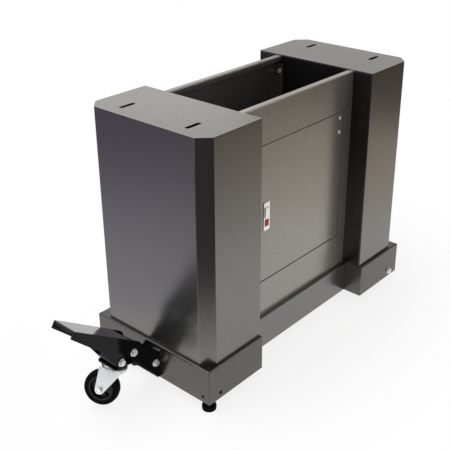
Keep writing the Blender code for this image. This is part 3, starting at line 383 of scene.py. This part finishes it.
SCREW_HEAD = 0.0024
SCREW_SHANK = 0.002
SCREW_PITCH = 0.0007
RECESS_DEPTH = 0.0015
RECESS_LENGTH = 0.0046
RECESS_WIDTH = 0.0011
for place in ("upper", "lower"):
    node = "hinge_screw_" + place
    middle, axis, low, high = along(node, (0, 1, 0))
    seat = low + SCREW_HEAD
    neck = seat + 0.001
    rings = [(0.0012, low), (0.0030, low + 0.00025), (0.0040, low + 0.0008), (0.0045, low + 0.0016), (0.0045, seat),
             (SCREW_SHANK, seat), (SCREW_SHANK, neck)]
    rings += thread_rings(SCREW_SHANK, SCREW_PITCH, neck, high - 0.0005) + [(0.0014, high)]
    screw = turned(node + "_dressed", rings, middle, axis)
    cross = bmesh.new()
    for wide, tall in ((RECESS_LENGTH, RECESS_WIDTH), (RECESS_WIDTH, RECESS_LENGTH)):
        bar = bmesh.ops.create_cube(cross, size=1.0)["verts"]
        bmesh.ops.scale(cross, vec=(wide, 2 * RECESS_DEPTH, tall), verts=bar)
    bmesh.ops.translate(cross, vec=middle + axis * low, verts=cross.verts)
    cutter_mesh = bpy.data.meshes.new("cross_recess")
    cross.to_mesh(cutter_mesh)
    cross.free()
    cutter = bpy.data.objects.new("cross_recess", cutter_mesh)
    bpy.context.scene.collection.objects.link(cutter)
    cut = screw.modifiers.new("cross recess", "BOOLEAN")
    cut.operation = "DIFFERENCE"
    cut.solver = "EXACT"
    cut.use_self = True
    cut.object = cutter
    bpy.context.view_layer.update()
    result = bpy.data.meshes.new_from_object(screw.evaluated_get(bpy.context.evaluated_depsgraph_get()))
    screw.modifiers.clear()
    screw.data = result
    screw.data.set_sharp_from_angle(angle=CREASE)
    bpy.data.objects.remove(cutter)
    fitted(screw, node, zinc)

# ------------------------------------------------------------------ Latch
# A die-cast turn latch is pushed through the door: a bright bezel, a flat handle on a spindle that
# turns the cam behind the frame, and a red release button in the lower half.

# Satin chrome on a die casting: almost white, with soft reflections and faint buffing marks. These are
# finer than 0.5 mm and are drawn 2 mm apart, so that they show.
chrome = bpy.data.materials.new("satin_chrome_die_casting")
chrome.use_nodes = True
tree = chrome.node_tree
where = add_node(tree, "ShaderNodeTexCoord")
stretch = add_node(tree, "ShaderNodeMapping", {"Scale": (1.0, 1.0, 0.1)}, {"Vector": where.outputs["Object"]})
buffing = add_node(tree, "ShaderNodeTexNoise", {"Scale": 1 / 0.002, "Detail": 2.0},
                   {"Vector": stretch.outputs["Vector"]})
bright = add_node(tree, "ShaderNodeValToRGB", links={"Fac": buffing.outputs["Fac"]})
bright.color_ramp.elements[0].color = tone("#fafaf7")
bright.color_ramp.elements[1].color = tone("#ffffff")
satin = add_node(tree, "ShaderNodeMapRange", {"To Min": 0.3, "To Max": 0.42}, {"Value": buffing.outputs["Fac"]})
face = tree.nodes["Principled BSDF"]
face.inputs["Metallic"].default_value = 1.0
tree.links.new(bright.outputs["Color"], face.inputs["Base Color"])
tree.links.new(satin.outputs["Result"], face.inputs["Roughness"])

# Red ABS, moulded and polished: a clear deep red with a broad soft gleam and flow clouds about 6 mm across.
red_abs = bpy.data.materials.new("red_moulded_abs")
red_abs.use_nodes = True
tree = red_abs.node_tree
where = add_node(tree, "ShaderNodeTexCoord")
flow = add_node(tree, "ShaderNodeTexNoise", {"Scale": 1 / 0.006}, {"Vector": where.outputs["Object"]})
red = add_node(tree, "ShaderNodeValToRGB", links={"Fac": flow.outputs["Fac"]})
red.color_ramp.elements[0].color = tone("#b0120f")
red.color_ramp.elements[1].color = tone("#c81c14")
face = tree.nodes["Principled BSDF"]
face.inputs["Roughness"].default_value = 0.3
face.inputs["IOR"].default_value = 1.54
face.inputs["Specular IOR Level"].default_value = 0.25
tree.links.new(red.outputs["Color"], face.inputs["Base Color"])

BEZEL_SINK = 0.0010
BUTTON_SINK = 0.0019
CAST_EDGE = 0.0005
deburred("latch_housing", CAST_EDGE, chrome, sink=BEZEL_SINK)
deburred("latch_button", CAST_EDGE, red_abs, sink=BUTTON_SINK)

HANDLE_HALF_WIDTH = 0.0072
HANDLE_RISE = 0.0085
HANDLE_FALL = 0.0175
HANDLE_THICKNESS = 0.0018
HANDLE_CORNER = 0.0018
SPINDLE_RADIUS = 0.005
SPINDLE_CHAMFER = 0.0006


def handle_ring(inset, y):
    """Rounded rectangle of the flat handle round its spindle, set in by a margin."""
    corner = max(HANDLE_CORNER - inset, 0.0004)
    points = []
    for x_way, z_end, start in ((1, HANDLE_RISE, 0), (-1, HANDLE_RISE, 90),
                                (-1, -HANDLE_FALL, 180), (1, -HANDLE_FALL, 270)):
        x = x_way * (HANDLE_HALF_WIDTH - inset - corner)
        z = z_end - (inset + corner) * (1 if z_end > 0 else -1)
        for step in range(7):
            angle = radians(start + 15 * step)
            points.append(spindle + Vector((x + corner * cos(angle), y, z + corner * sin(angle))))
    return points


def spindle_ring(radius, y):
    """Points of the spindle, one for each point of the handle's outline and at the same angle."""
    points = []
    for point in handle_ring(0.0, y):
        out = Vector((point.x - spindle.x, 0, point.z - spindle.z)).normalized()
        points.append(spindle + Vector((out.x * radius, y, out.z * radius)))
    return points


node = "latch_handle"
spindle = Vector(next(row["pos_m"] for row in frame["joints"] if row["name"] == "latch_turn"))
back = BEZEL_SINK - 0.0003
front = back - HANDLE_THICKNESS
spindle_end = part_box(node)[1].y - spindle.y
rings = [handle_ring(0.0011, front), handle_ring(0.0001, front + 0.0010), handle_ring(0.0, front + 0.0013),
         handle_ring(0.0, back - 0.0001), handle_ring(0.0002, back), spindle_ring(SPINDLE_RADIUS, back),
         spindle_ring(SPINDLE_RADIUS, spindle_end - SPINDLE_CHAMFER),
         spindle_ring(SPINDLE_RADIUS - SPINDLE_CHAMFER, spindle_end)]
count = len(rings[0])
faces = [tuple(range(count)), tuple(range((len(rings) - 1) * count, len(rings) * count))]
for row in range(len(rings) - 1):
    for i in range(count):
        a, b = row * count + i, row * count + (i + 1) % count
        faces.append((a, b, b + count, a + count))
fitted(made("latch_handle_dressed", [point for ring in rings for point in ring], faces), node, chrome)
deburred("latch_cam", SHEET_EDGE, zinc)

# ------------------------------------------------------------------ Levelling feet
# A moulded rubber pad on a zinc-plated M8 stud screws through a gusset welded into the plinth's corner,
# and a nut under the gusset locks it.
for end in ("front", "back"):
    deburred(end + "_foot_gusset", SHEET_EDGE, column_coat)


def hex_nut(node, axis, flat, bore):
    """Hexagon nut, chamfered at both ends, in the place of a CAD nut."""
    middle, axis, low, high = along(node, axis)
    half = flat / 2
    height = high - low
    rings = [(bore * 1.08, low), (half * 0.95, low), (hex_ring(flat, half), low + 0.0002),
             (hex_ring(flat, half * 1.09), low + height * 0.1), (hex_ring(flat, half * 1.2), low + height * 0.22),
             (hex_ring(flat, half * 1.2), high - height * 0.22), (hex_ring(flat, half * 1.09), high - height * 0.1),
             (hex_ring(flat, half), high - 0.0002), (half * 0.95, high), (bore * 1.08, high), (bore, high - 0.0008),
             (bore, low + 0.0008)]
    return fitted(turned(node + "_dressed", rings, middle, axis, closed=True), node, zinc)


# Moulded rubber: matte black, greyed a little by bloom, with a fine grain of about 1 mm.
rubber = bpy.data.materials.new("moulded_black_rubber")
rubber.use_nodes = True
tree = rubber.node_tree
where = add_node(tree, "ShaderNodeTexCoord")
bloom = add_node(tree, "ShaderNodeTexNoise", {"Scale": 1 / 0.008, "Detail": 3.0}, {"Vector": where.outputs["Object"]})
black = add_node(tree, "ShaderNodeValToRGB", links={"Fac": bloom.outputs["Fac"]})
black.color_ramp.elements[0].color = tone("#060606")
black.color_ramp.elements[1].color = tone("#0c0b0c")
grain = add_node(tree, "ShaderNodeTexNoise", {"Scale": 1 / 0.001}, {"Vector": where.outputs["Object"]})
rough = add_node(tree, "ShaderNodeBump", {"Strength": 0.15, "Distance": 0.0002}, {"Height": grain.outputs["Fac"]})
face = tree.nodes["Principled BSDF"]
face.inputs["Roughness"].default_value = 0.75
face.inputs["IOR"].default_value = 1.52
face.inputs["Specular IOR Level"].default_value = 0.07
tree.links.new(black.outputs["Color"], face.inputs["Base Color"])
tree.links.new(rough.outputs["Normal"], face.inputs["Normal"])

M8 = {"flat": 0.013, "head": 0.0055, "shank": 0.004, "pitch": 0.00125}
M8_NUT = {"flat": M8["flat"], "bore": 0.0045}
for end in ("front", "back"):
    hex_nut(end + "_foot_locknut", (0, 0, 1), **M8_NUT)
    node = end + "_foot_stud"
    middle, axis, low, high = along(node, (0, 0, 1))
    rings = [(0.0038, low)] + thread_rings(M8["shank"], M8["pitch"], low + 0.001, high - 0.001) + [(0.003, high)]
    fitted(turned(node + "_dressed", rings, middle, axis), node, zinc)
    node = end + "_foot_pad"
    middle, axis, low, high = along(node, (0, 0, 1))
    rings = [(0.0005, low), (0.0142, low), (0.0149, low + 0.0006), (0.0154, low + 0.003), (0.0155, low + 0.0052),
             (0.0150, low + 0.0056), (0.0150, low + 0.0066), (0.0155, low + 0.0070), (0.0154, low + 0.0092),
             (0.0150, low + 0.0106), (0.0140, high), (0.0062, high), (0.0058, high - 0.0008), (0.0044, high - 0.0008),
             (0.0044, low + 0.0048), (0.0005, low + 0.0048)]
    fitted(turned(node + "_dressed", rings, middle, axis), node, rubber)

# ------------------------------------------------------------------ Fixed wheels
# Each fixed wheel turns on a bolt through the right plinth's wall and a zinc-plated fork bracket under
# its flange. The tyre is hard rubber, bonded to a moulded nylon hub.
BRACKET_EDGE = 0.0005
M8_FLANGE = 0.0085
for end, y_way in (("front", 1), ("back", -1)):
    deburred(end + "_wheel_bracket", BRACKET_EDGE, zinc)
    hex_bolt(end + "_axle_bolt", (0, y_way, 0), flange=M8_FLANGE, **M8)
    hex_nut(end + "_axle_nut", (0, y_way, 0), **M8_NUT)

# Black nylon, moulded: satin, nearly black, with the slight mottle of the mould, about 5 mm across.
nylon = bpy.data.materials.new("moulded_black_nylon")
nylon.use_nodes = True
tree = nylon.node_tree
where = add_node(tree, "ShaderNodeTexCoord")
mould = add_node(tree, "ShaderNodeTexNoise", {"Scale": 1 / 0.005, "Detail": 2.0}, {"Vector": where.outputs["Object"]})
dark = add_node(tree, "ShaderNodeValToRGB", links={"Fac": mould.outputs["Fac"]})
dark.color_ramp.elements[0].color = tone("#0a0a0b")
dark.color_ramp.elements[1].color = tone("#111112")
satin = add_node(tree, "ShaderNodeMapRange", {"To Min": 0.38, "To Max": 0.5}, {"Value": mould.outputs["Fac"]})
face = tree.nodes["Principled BSDF"]
face.inputs["IOR"].default_value = 1.53
face.inputs["Specular IOR Level"].default_value = 0.3
tree.links.new(dark.outputs["Color"], face.inputs["Base Color"])
tree.links.new(satin.outputs["Result"], face.inputs["Roughness"])

WHEEL_RADIUS = 0.038
HALF_TYRE = 0.012
HUB_RIM = 0.0267
HUB_BOSS = 0.010
HUB_BORE = 0.0044


def wheel_tyre(name, middle, axis, half, radius, bead):
    """Crowned rubber tyre with a mould line round the tread and a groove in each side wall."""
    sides = [(bead, -half), (radius - 0.0085, -half), (radius - 0.0080, -half + 0.0006),
             (radius - 0.0072, -half + 0.0006), (radius - 0.0067, -half), (radius - 0.0042, -half),
             (radius - 0.0024, -half + 0.0012), (radius - 0.0012, -half + 0.0030), (radius - 0.0004, -half * 0.45),
             (radius - 0.0001, -0.0006), (radius, 0.0)]
    rings = sides + [(r, -h) for r, h in sides[-2::-1]]
    return turned(name, rings, middle, axis, closed=True)


def wheel_hub(name, middle, axis, half, rim, boss, bore, overhang):
    """Moulded hub: a rim, a thin web with six ribs, and a boss that runs out past the tyre."""
    web = half * 0.22
    top = half - 0.001

    def ribbed(angle):
        return web + (top - web) * 0.75 * max(0.0, cos(6 * angle)) ** 6
    sides = [(bore, -half - overhang), (boss * 0.92, -half - overhang), (boss, -half - overhang + 0.0006)]
    ribs = [(boss + 0.0012, ribbed), (rim - 0.0052, ribbed)]
    rings = sides + [(r, lambda angle: -ribbed(angle)) for r, h in ribs]
    rings += [(rim - 0.0040, -top), (rim, -top), (rim, top), (rim - 0.0040, top)]
    rings += ribs[::-1] + [(r, -h) for r, h in sides[::-1]]
    return turned(name, rings, middle, axis, closed=True)


for end in ("front", "back"):
    node = end + "_fixed_wheel"
    low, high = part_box(node)
    middle = (low + high) / 2
    axis = Vector((0, 1, 0))
    tyre = wheel_tyre(end + "_wheel_tyre", middle, axis, HALF_TYRE, WHEEL_RADIUS, bead=0.027)
    fitted(tyre, node, rubber)
    hub = wheel_hub(end + "_wheel_hub", middle, axis, HALF_TYRE, HUB_RIM, HUB_BOSS, HUB_BORE, overhang=0.0)
    hub.data.materials.append(nylon)
    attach(hub, bodies[node])

# ------------------------------------------------------------------ Pedal and bracket
# A channel bracket is bolted to the end of the left plinth. The pedal, pressed from 3 mm plate, turns on
# a bolt between its ears, and a nylon roller between the pedal's cheeks pushes the arm under it. The
# bracket, the pedal and the arm are enamelled black.
FILM_WAVE = 0.012


def black_enamel(name, shine, coat):
    """Black stoving enamel: deep black under a smooth hard film, slightly wavy, that mirrors the room."""
    enamel = bpy.data.materials.new(name)
    enamel.use_nodes = True
    tree = enamel.node_tree
    where = add_node(tree, "ShaderNodeTexCoord")
    film = add_node(tree, "ShaderNodeTexNoise", {"Scale": 1 / FILM_WAVE, "Detail": 1.0},
                    {"Vector": where.outputs["Object"]})
    deep = add_node(tree, "ShaderNodeValToRGB", links={"Fac": film.outputs["Fac"]})
    deep.color_ramp.elements[0].color = tone("#060607")
    deep.color_ramp.elements[1].color = tone("#0b0b0d")
    sheen = add_node(tree, "ShaderNodeMapRange", {"To Min": 0.07, "To Max": 0.11}, {"Value": film.outputs["Fac"]})
    wave = add_node(tree, "ShaderNodeBump", {"Strength": 0.03, "Distance": 0.0005}, {"Height": film.outputs["Fac"]})
    face = tree.nodes["Principled BSDF"]
    face.inputs["IOR"].default_value = 1.42
    face.inputs["Specular IOR Level"].default_value = shine
    face.inputs["Coat Weight"].default_value = coat
    face.inputs["Coat Roughness"].default_value = 0.04
    tree.links.new(deep.outputs["Color"], face.inputs["Base Color"])
    tree.links.new(sheen.outputs["Result"], face.inputs["Roughness"])
    tree.links.new(wave.outputs["Normal"], face.inputs["Normal"])
    return enamel


# Lit and shaded copies of the enamel: the sides, bracket and arm get a duller copy that gives back little of
# the room, painted shade for the dark floor they mirror; the tread's faces up get a glossier copy.
enamel = black_enamel("black_enamel_dulled_as_painted_shade", shine=0.2, coat=0.0)
faces_up_enamel = black_enamel("black_enamel_glossier_copy_for_faces_up", shine=0.5, coat=0.4)
PLATE_EDGE = 0.0008
TREAD_FACES_UP = 0.7
deburred("pedal_bracket", PLATE_EDGE, enamel)
pedal = deburred("pedal", PLATE_EDGE, enamel)
pedal.data.materials.append(faces_up_enamel)
for face in pedal.data.polygons:
    face.material_index = 1 if face.normal.z > TREAD_FACES_UP else 0
deburred("caster_arm", PLATE_EDGE, enamel)
for place in ("upper", "lower"):
    hex_bolt("bracket_bolt_" + place, (1, 0, 0), flange=0.0055, **M6)
for name in ("pedal_pivot", "arm_pivot", "roller"):
    hex_bolt(name + "_bolt", (0, 1, 0), flange=M8_FLANGE, **M8)
    hex_nut(name + "_nut", (0, 1, 0), **M8_NUT)

node = "pedal_roller"
middle, axis, low, high = along(node, (0, 1, 0))
rings = [(0.0044, low), (0.0085, low), (0.0090, low + 0.0008), (0.0118, low + 0.0008), (0.0123, low),
         (0.0127, low + 0.0004), (0.0130, low + 0.0012), (0.0130, high - 0.0012), (0.0127, high - 0.0004),
         (0.0123, high), (0.0118, high - 0.0008), (0.0090, high - 0.0008), (0.0085, high), (0.0044, high)]
fitted(turned("pedal_roller_dressed", rings, middle, axis, closed=True), node, nylon)

# ------------------------------------------------------------------ Caster
# A swivel caster hangs under the arm: a pressed race plate on a riveted kingpin, a zinc-plated pressed
# fork, and a rubber-tyred wheel on an M8 bolt. Two M5 screws with nuts under the plate hold it.
joints = {row["name"]: row for row in frame["joints"]}
kingpin = Vector(joints["caster_swivel"]["axis"]).normalized()
spin = Vector(joints["caster_wheel_spin"]["axis"]).normalized()
hub_middle = Vector(joints["caster_wheel_spin"]["pos_m"])

middle, axis, low, high = along("caster_head", kingpin)
pin_end = low + 0.0027
plate_low = pin_end + 0.0106
plate_high = plate_low + 0.005
rings = [(0.0060, low), (0.0080, low + 0.0004), (0.0098, low + 0.0016), (0.0100, pin_end), (0.0060, pin_end),
         (0.0060, plate_low), (0.0170, plate_low), (0.0178, plate_low + 0.0006), (0.0196, plate_low + 0.0006),
         (0.0204, plate_low), (0.0219, plate_low + 0.0003), (0.0225, plate_low + 0.0014), (0.0225, plate_high - 0.0012),
         (0.0218, plate_high), (0.0060, plate_high), (0.0060, high - 0.0007), (0.0054, high)]
fitted(turned("caster_head_dressed", rings, middle, axis), "caster_head", zinc)
deburred("caster_fork", PLATE_EDGE, zinc)

arm_pivot = Vector(joints["arm_swing"]["pos_m"])
arm_way = Vector((kingpin.z, 0, -kingpin.x))
SCREWS_ALONG_ARM = -0.110
SCREW_OFFSET = 0.0225
PLATE_UNDERSIDE = 0.01425
M5_FLAT = 0.008
for side, y in (("near", -SCREW_OFFSET), ("far", SCREW_OFFSET)):
    seat = arm_pivot + arm_way * SCREWS_ALONG_ARM + Vector((0, y, 0)) + kingpin * PLATE_UNDERSIDE
    half = M5_FLAT / 2
    rings = [(0.0016, -0.0055), (0.0024, -0.0050), (0.0025, -0.0042), (half * 0.95, -0.0042),
             (hex_ring(M5_FLAT, half * 1.09), -0.0038), (hex_ring(M5_FLAT, half * 1.2), -0.0033),
             (hex_ring(M5_FLAT, half * 1.2), -0.0007), (hex_ring(M5_FLAT, half * 1.09), -0.0002),
             (half * 0.95, -0.00005)]
    nut = turned(f"race_plate_nut_{side}", rings, seat, kingpin)
    nut.data.materials.append(zinc)
    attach(nut, "swing_arm")

hex_bolt("caster_axle_bolt", spin, flange=0.00715, **M8)
hex_nut("caster_axle_nut", spin, **M8_NUT)
tyre = wheel_tyre("caster_tyre_dressed", hub_middle, spin, HALF_TYRE, WHEEL_RADIUS, bead=0.0271)
fitted(tyre, "caster_tyre", rubber)
hub = wheel_hub("caster_hub_dressed", hub_middle, spin, HALF_TYRE, HUB_RIM, HUB_BOSS, HUB_BORE, overhang=0.001)
fitted(hub, "caster_hub", nylon)

# ------------------------------------------------------------------ Floor, light and camera
# White paper on a studio floor under soft light. To the eye the paper is white all round, with the
# stand's shadow on it; mirrored in the steel it turns grey further out, like the unlit parts of a studio.
stand_middle = Vector(((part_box("left_column_shell")[0].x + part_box("right_column_shell")[1].x) / 2, 0, 0))
FLOOR_REACH = 14.0
FLOOR_DROP = 0.0002
corners = [(x * FLOOR_REACH, y * FLOOR_REACH, -FLOOR_DROP) for x, y in ((-1, -1), (1, -1), (1, 1), (-1, 1))]
floor = made("floor", corners, [(0, 1, 2, 3)])
paper = bpy.data.materials.new("white_paper_floor")
paper.use_nodes = True
tree = paper.node_tree
tree.nodes.remove(tree.nodes["Principled BSDF"])
spot = add_node(tree, "ShaderNodeNewGeometry")
from_stand = add_node(tree, "ShaderNodeVectorMath", {1: stand_middle}, {0: spot.outputs["Position"]},
                      operation="SUBTRACT")
apart = add_node(tree, "ShaderNodeSeparateXYZ", links={"Vector": from_stand.outputs["Vector"]})
near = add_node(tree, "ShaderNodeVectorMath", {1: (-0.75, -0.66, 0.0)}, {0: from_stand.outputs["Vector"]},
                operation="DOT_PRODUCT")
right = add_node(tree, "ShaderNodeVectorMath", {1: (0.462, -0.887, 0.0)}, {0: from_stand.outputs["Vector"]},
                 operation="DOT_PRODUCT")
left = add_node(tree, "ShaderNodeVectorMath", {1: (-0.825, 0.566, 0.0)}, {0: from_stand.outputs["Vector"]},
                operation="DOT_PRODUCT")
in_front = add_node(tree, "ShaderNodeMapRange", {"From Min": -0.4, "From Max": -1.35}, {"Value": apart.outputs["Y"]})
past_stand = add_node(tree, "ShaderNodeMapRange", {"From Min": 0.49, "From Max": 0.75},
                      {"Value": right.outputs["Value"]})
far_front = add_node(tree, "ShaderNodeMath", links={0: in_front.outputs["Result"], 1: past_stand.outputs["Result"]},
                     operation="MULTIPLY")
far_right = add_node(tree, "ShaderNodeMath", links={0: apart.outputs["X"], 1: past_stand.outputs["Result"]},
                     operation="MULTIPLY")


def faded(measure, start, end, code):
    """Tone of the mirrored paper, from white to the given colour as a measure runs from start to end."""
    fade = add_node(tree, "ShaderNodeMapRange", {"From Min": start, "From Max": end},
                    {"Value": measure.outputs["Value"]})
    ramp = add_node(tree, "ShaderNodeValToRGB", links={"Fac": fade.outputs["Result"]})
    ramp.color_ramp.elements[0].color = tone("#ffffff")
    ramp.color_ramp.elements[1].color = tone(code)
    return ramp


left_tone = faded(left, 0.5, 1.84, "#7b798a")
for place, code in ((0.09, "#e2e2ee"), (0.22, "#dcdbe8"), (0.41, "#c8c7d8"), (0.61, "#abaabb"), (0.83, "#8f8d9f")):
    left_tone.color_ramp.elements.new(place).color = tone(code)
front_tone = faded(far_front, 0.0, 1.0, "#8f8a84")
warm_tone = faded(far_right, 0.1, 0.8, "#fff5e9")
right_tone = faded(far_right, 1.28, 1.62, "#a6a29b")
near_tone = faded(near, 0.51, 0.85, "#3e3e3e")
paper_tone = left_tone.outputs["Color"]
for other in (front_tone, warm_tone, right_tone, near_tone):
    product = add_node(tree, "ShaderNodeVectorMath", links={0: paper_tone, 1: other.outputs["Color"]},
                       operation="MULTIPLY")
    paper_tone = product.outputs["Vector"]


def eye_rays(tree):
    """Rays straight from the eye, and all that the eye sees, also by way of gloss or glass."""
    path = add_node(tree, "ShaderNodeLightPath")
    seen = path.outputs["Is Camera Ray"]
    for kind in ("Is Glossy Ray", "Is Transmission Ray"):
        either = add_node(tree, "ShaderNodeMath", links={0: seen, 1: path.outputs[kind]}, operation="MAXIMUM")
        seen = either.outputs["Value"]
    return path.outputs["Is Camera Ray"], seen


SHADOW_LONG = 0.55
SHADOW_DEEP = 0.34
matte = add_node(tree, "ShaderNodeBsdfDiffuse", links={"Color": paper_tone})
straight, seen = eye_rays(tree)
white = add_node(tree, "ShaderNodeVectorMath", links={0: straight, 1: paper_tone}, operation="MAXIMUM")
plain = add_node(tree, "ShaderNodeEmission", {"Strength": 1.0}, {"Color": white.outputs["Vector"]})
reach = add_node(tree, "ShaderNodeVectorMath", {1: (1 / SHADOW_LONG, 1 / SHADOW_DEEP, 0.0)},
                 {0: from_stand.outputs["Vector"]}, operation="MULTIPLY")
away = add_node(tree, "ShaderNodeVectorMath", links={0: reach.outputs["Vector"]}, operation="LENGTH")
open_paper = add_node(tree, "ShaderNodeMapRange", {"From Min": 0.8, "From Max": 1.6, "To Min": 0.82, "To Max": 1.0},
                      {"Value": away.outputs["Value"]})
share = add_node(tree, "ShaderNodeMath", links={0: seen, 1: open_paper.outputs["Result"]}, operation="MULTIPLY")
mixed = add_node(tree, "ShaderNodeMixShader", links={0: share.outputs["Value"], 1: matte.outputs["BSDF"],
                                                     2: plain.outputs["Emission"]})
tree.links.new(mixed.outputs["Shader"], tree.nodes["Material Output"].inputs["Surface"])
floor.data.materials.append(paper)

# The room is white to the eye. Mirrored in the steel it is white behind the stand and dark in front of
# it, and for all other light it is plain and even.
room = bpy.data.worlds.new("studio")
bpy.context.scene.world = room
room.use_nodes = True
tree = room.node_tree
way = add_node(tree, "ShaderNodeTexCoord")
facing = add_node(tree, "ShaderNodeVectorMath", {1: (0.15, 0.99, 0.0)}, {0: way.outputs["Generated"]},
                  operation="DOT_PRODUCT")
behind = add_node(tree, "ShaderNodeMapRange", {"From Min": -0.35, "From Max": 0.3}, {"Value": facing.outputs["Value"]})
wall = add_node(tree, "ShaderNodeValToRGB", links={"Fac": behind.outputs["Result"]})
wall.color_ramp.elements[0].color = tone("#3a3a3c")
wall.color_ramp.elements[1].color = tone("#e6e5e2")
even = tree.nodes["Background"]
even.inputs["Color"].default_value = tone("#ffffff")
even.inputs["Strength"].default_value = 0.45
straight, seen = eye_rays(tree)
white = add_node(tree, "ShaderNodeVectorMath", links={0: straight, 1: wall.outputs["Color"]}, operation="MAXIMUM")
shown = add_node(tree, "ShaderNodeBackground", {"Strength": 1.0}, {"Color": white.outputs["Vector"]})
mixed = add_node(tree, "ShaderNodeMixShader", links={0: seen, 1: even.outputs["Background"],
                                                     2: shown.outputs["Background"]})
tree.links.new(mixed.outputs["Shader"], tree.nodes["World Output"].inputs["Surface"])


def softbox(name, at, aim, width, watts, colour):
    """Set up a square soft light beside the stand, aimed at a point of it."""
    lamp = bpy.data.lights.new(name, "AREA")
    lamp.size = width
    lamp.energy = watts
    lamp.color = tone(colour)[:3]
    holder = bpy.data.objects.new(name, lamp)
    holder.location = stand_middle + Vector(at)
    holder.rotation_euler = (Vector(aim) - Vector(at)).to_track_quat("-Z", "Y").to_euler()
    bpy.context.scene.collection.objects.link(holder)


softbox("top_softbox", (-0.45, 0.45, 2.1), (-0.25, 0.0, 0.5), 1.5, 26.0, "#ffffff")
softbox("back_softbox", (1.62, 2.05, 1.55), (-0.28, 0.0, 0.6), 1.0, 1.5, "#ffffff")
softbox("warm_fill", (1.7, -2.3, 1.3), (0.0, -0.1, 0.3), 1.4, 12.0, "#fff3e6")
softbox("cool_fill", (-2.4, 1.0, 1.1), (-0.36, 0.0, 0.3), 1.3, 8.0, "#d3daff")
softbox("caster_light", (-2.0, -0.45, 0.34), (-0.48, 0.0, 0.06), 0.6, 6.5, "#ffffff")

# The photograph's viewpoint, found by fitting the stand's own edges to it.
EYE = Vector((-1.3189654, -1.073564, 1.1078711))
EYE_RIGHT = Vector((0.6612802, -0.7501149, -0.0060156))
EYE_UP = Vector((0.3173031, 0.2724409, 0.9083472))
EYE_FORWARD = Vector((0.6797259, 0.6025808, -0.4181736))
lens = bpy.data.cameras.new("camera")
lens.lens = 64.093
lens.sensor_width = 36.0
lens.shift_x = -0.00968
lens.shift_y = -0.06893
camera = bpy.data.objects.new("camera", lens)
view_turn = Matrix((EYE_RIGHT, EYE_UP, -EYE_FORWARD)).transposed()
camera.matrix_world = Matrix.Translation(stand_middle + EYE) @ view_turn.to_4x4()
bpy.context.scene.collection.objects.link(camera)
bpy.context.scene.camera = camera
bpy.context.scene.view_settings.view_transform = "Standard"
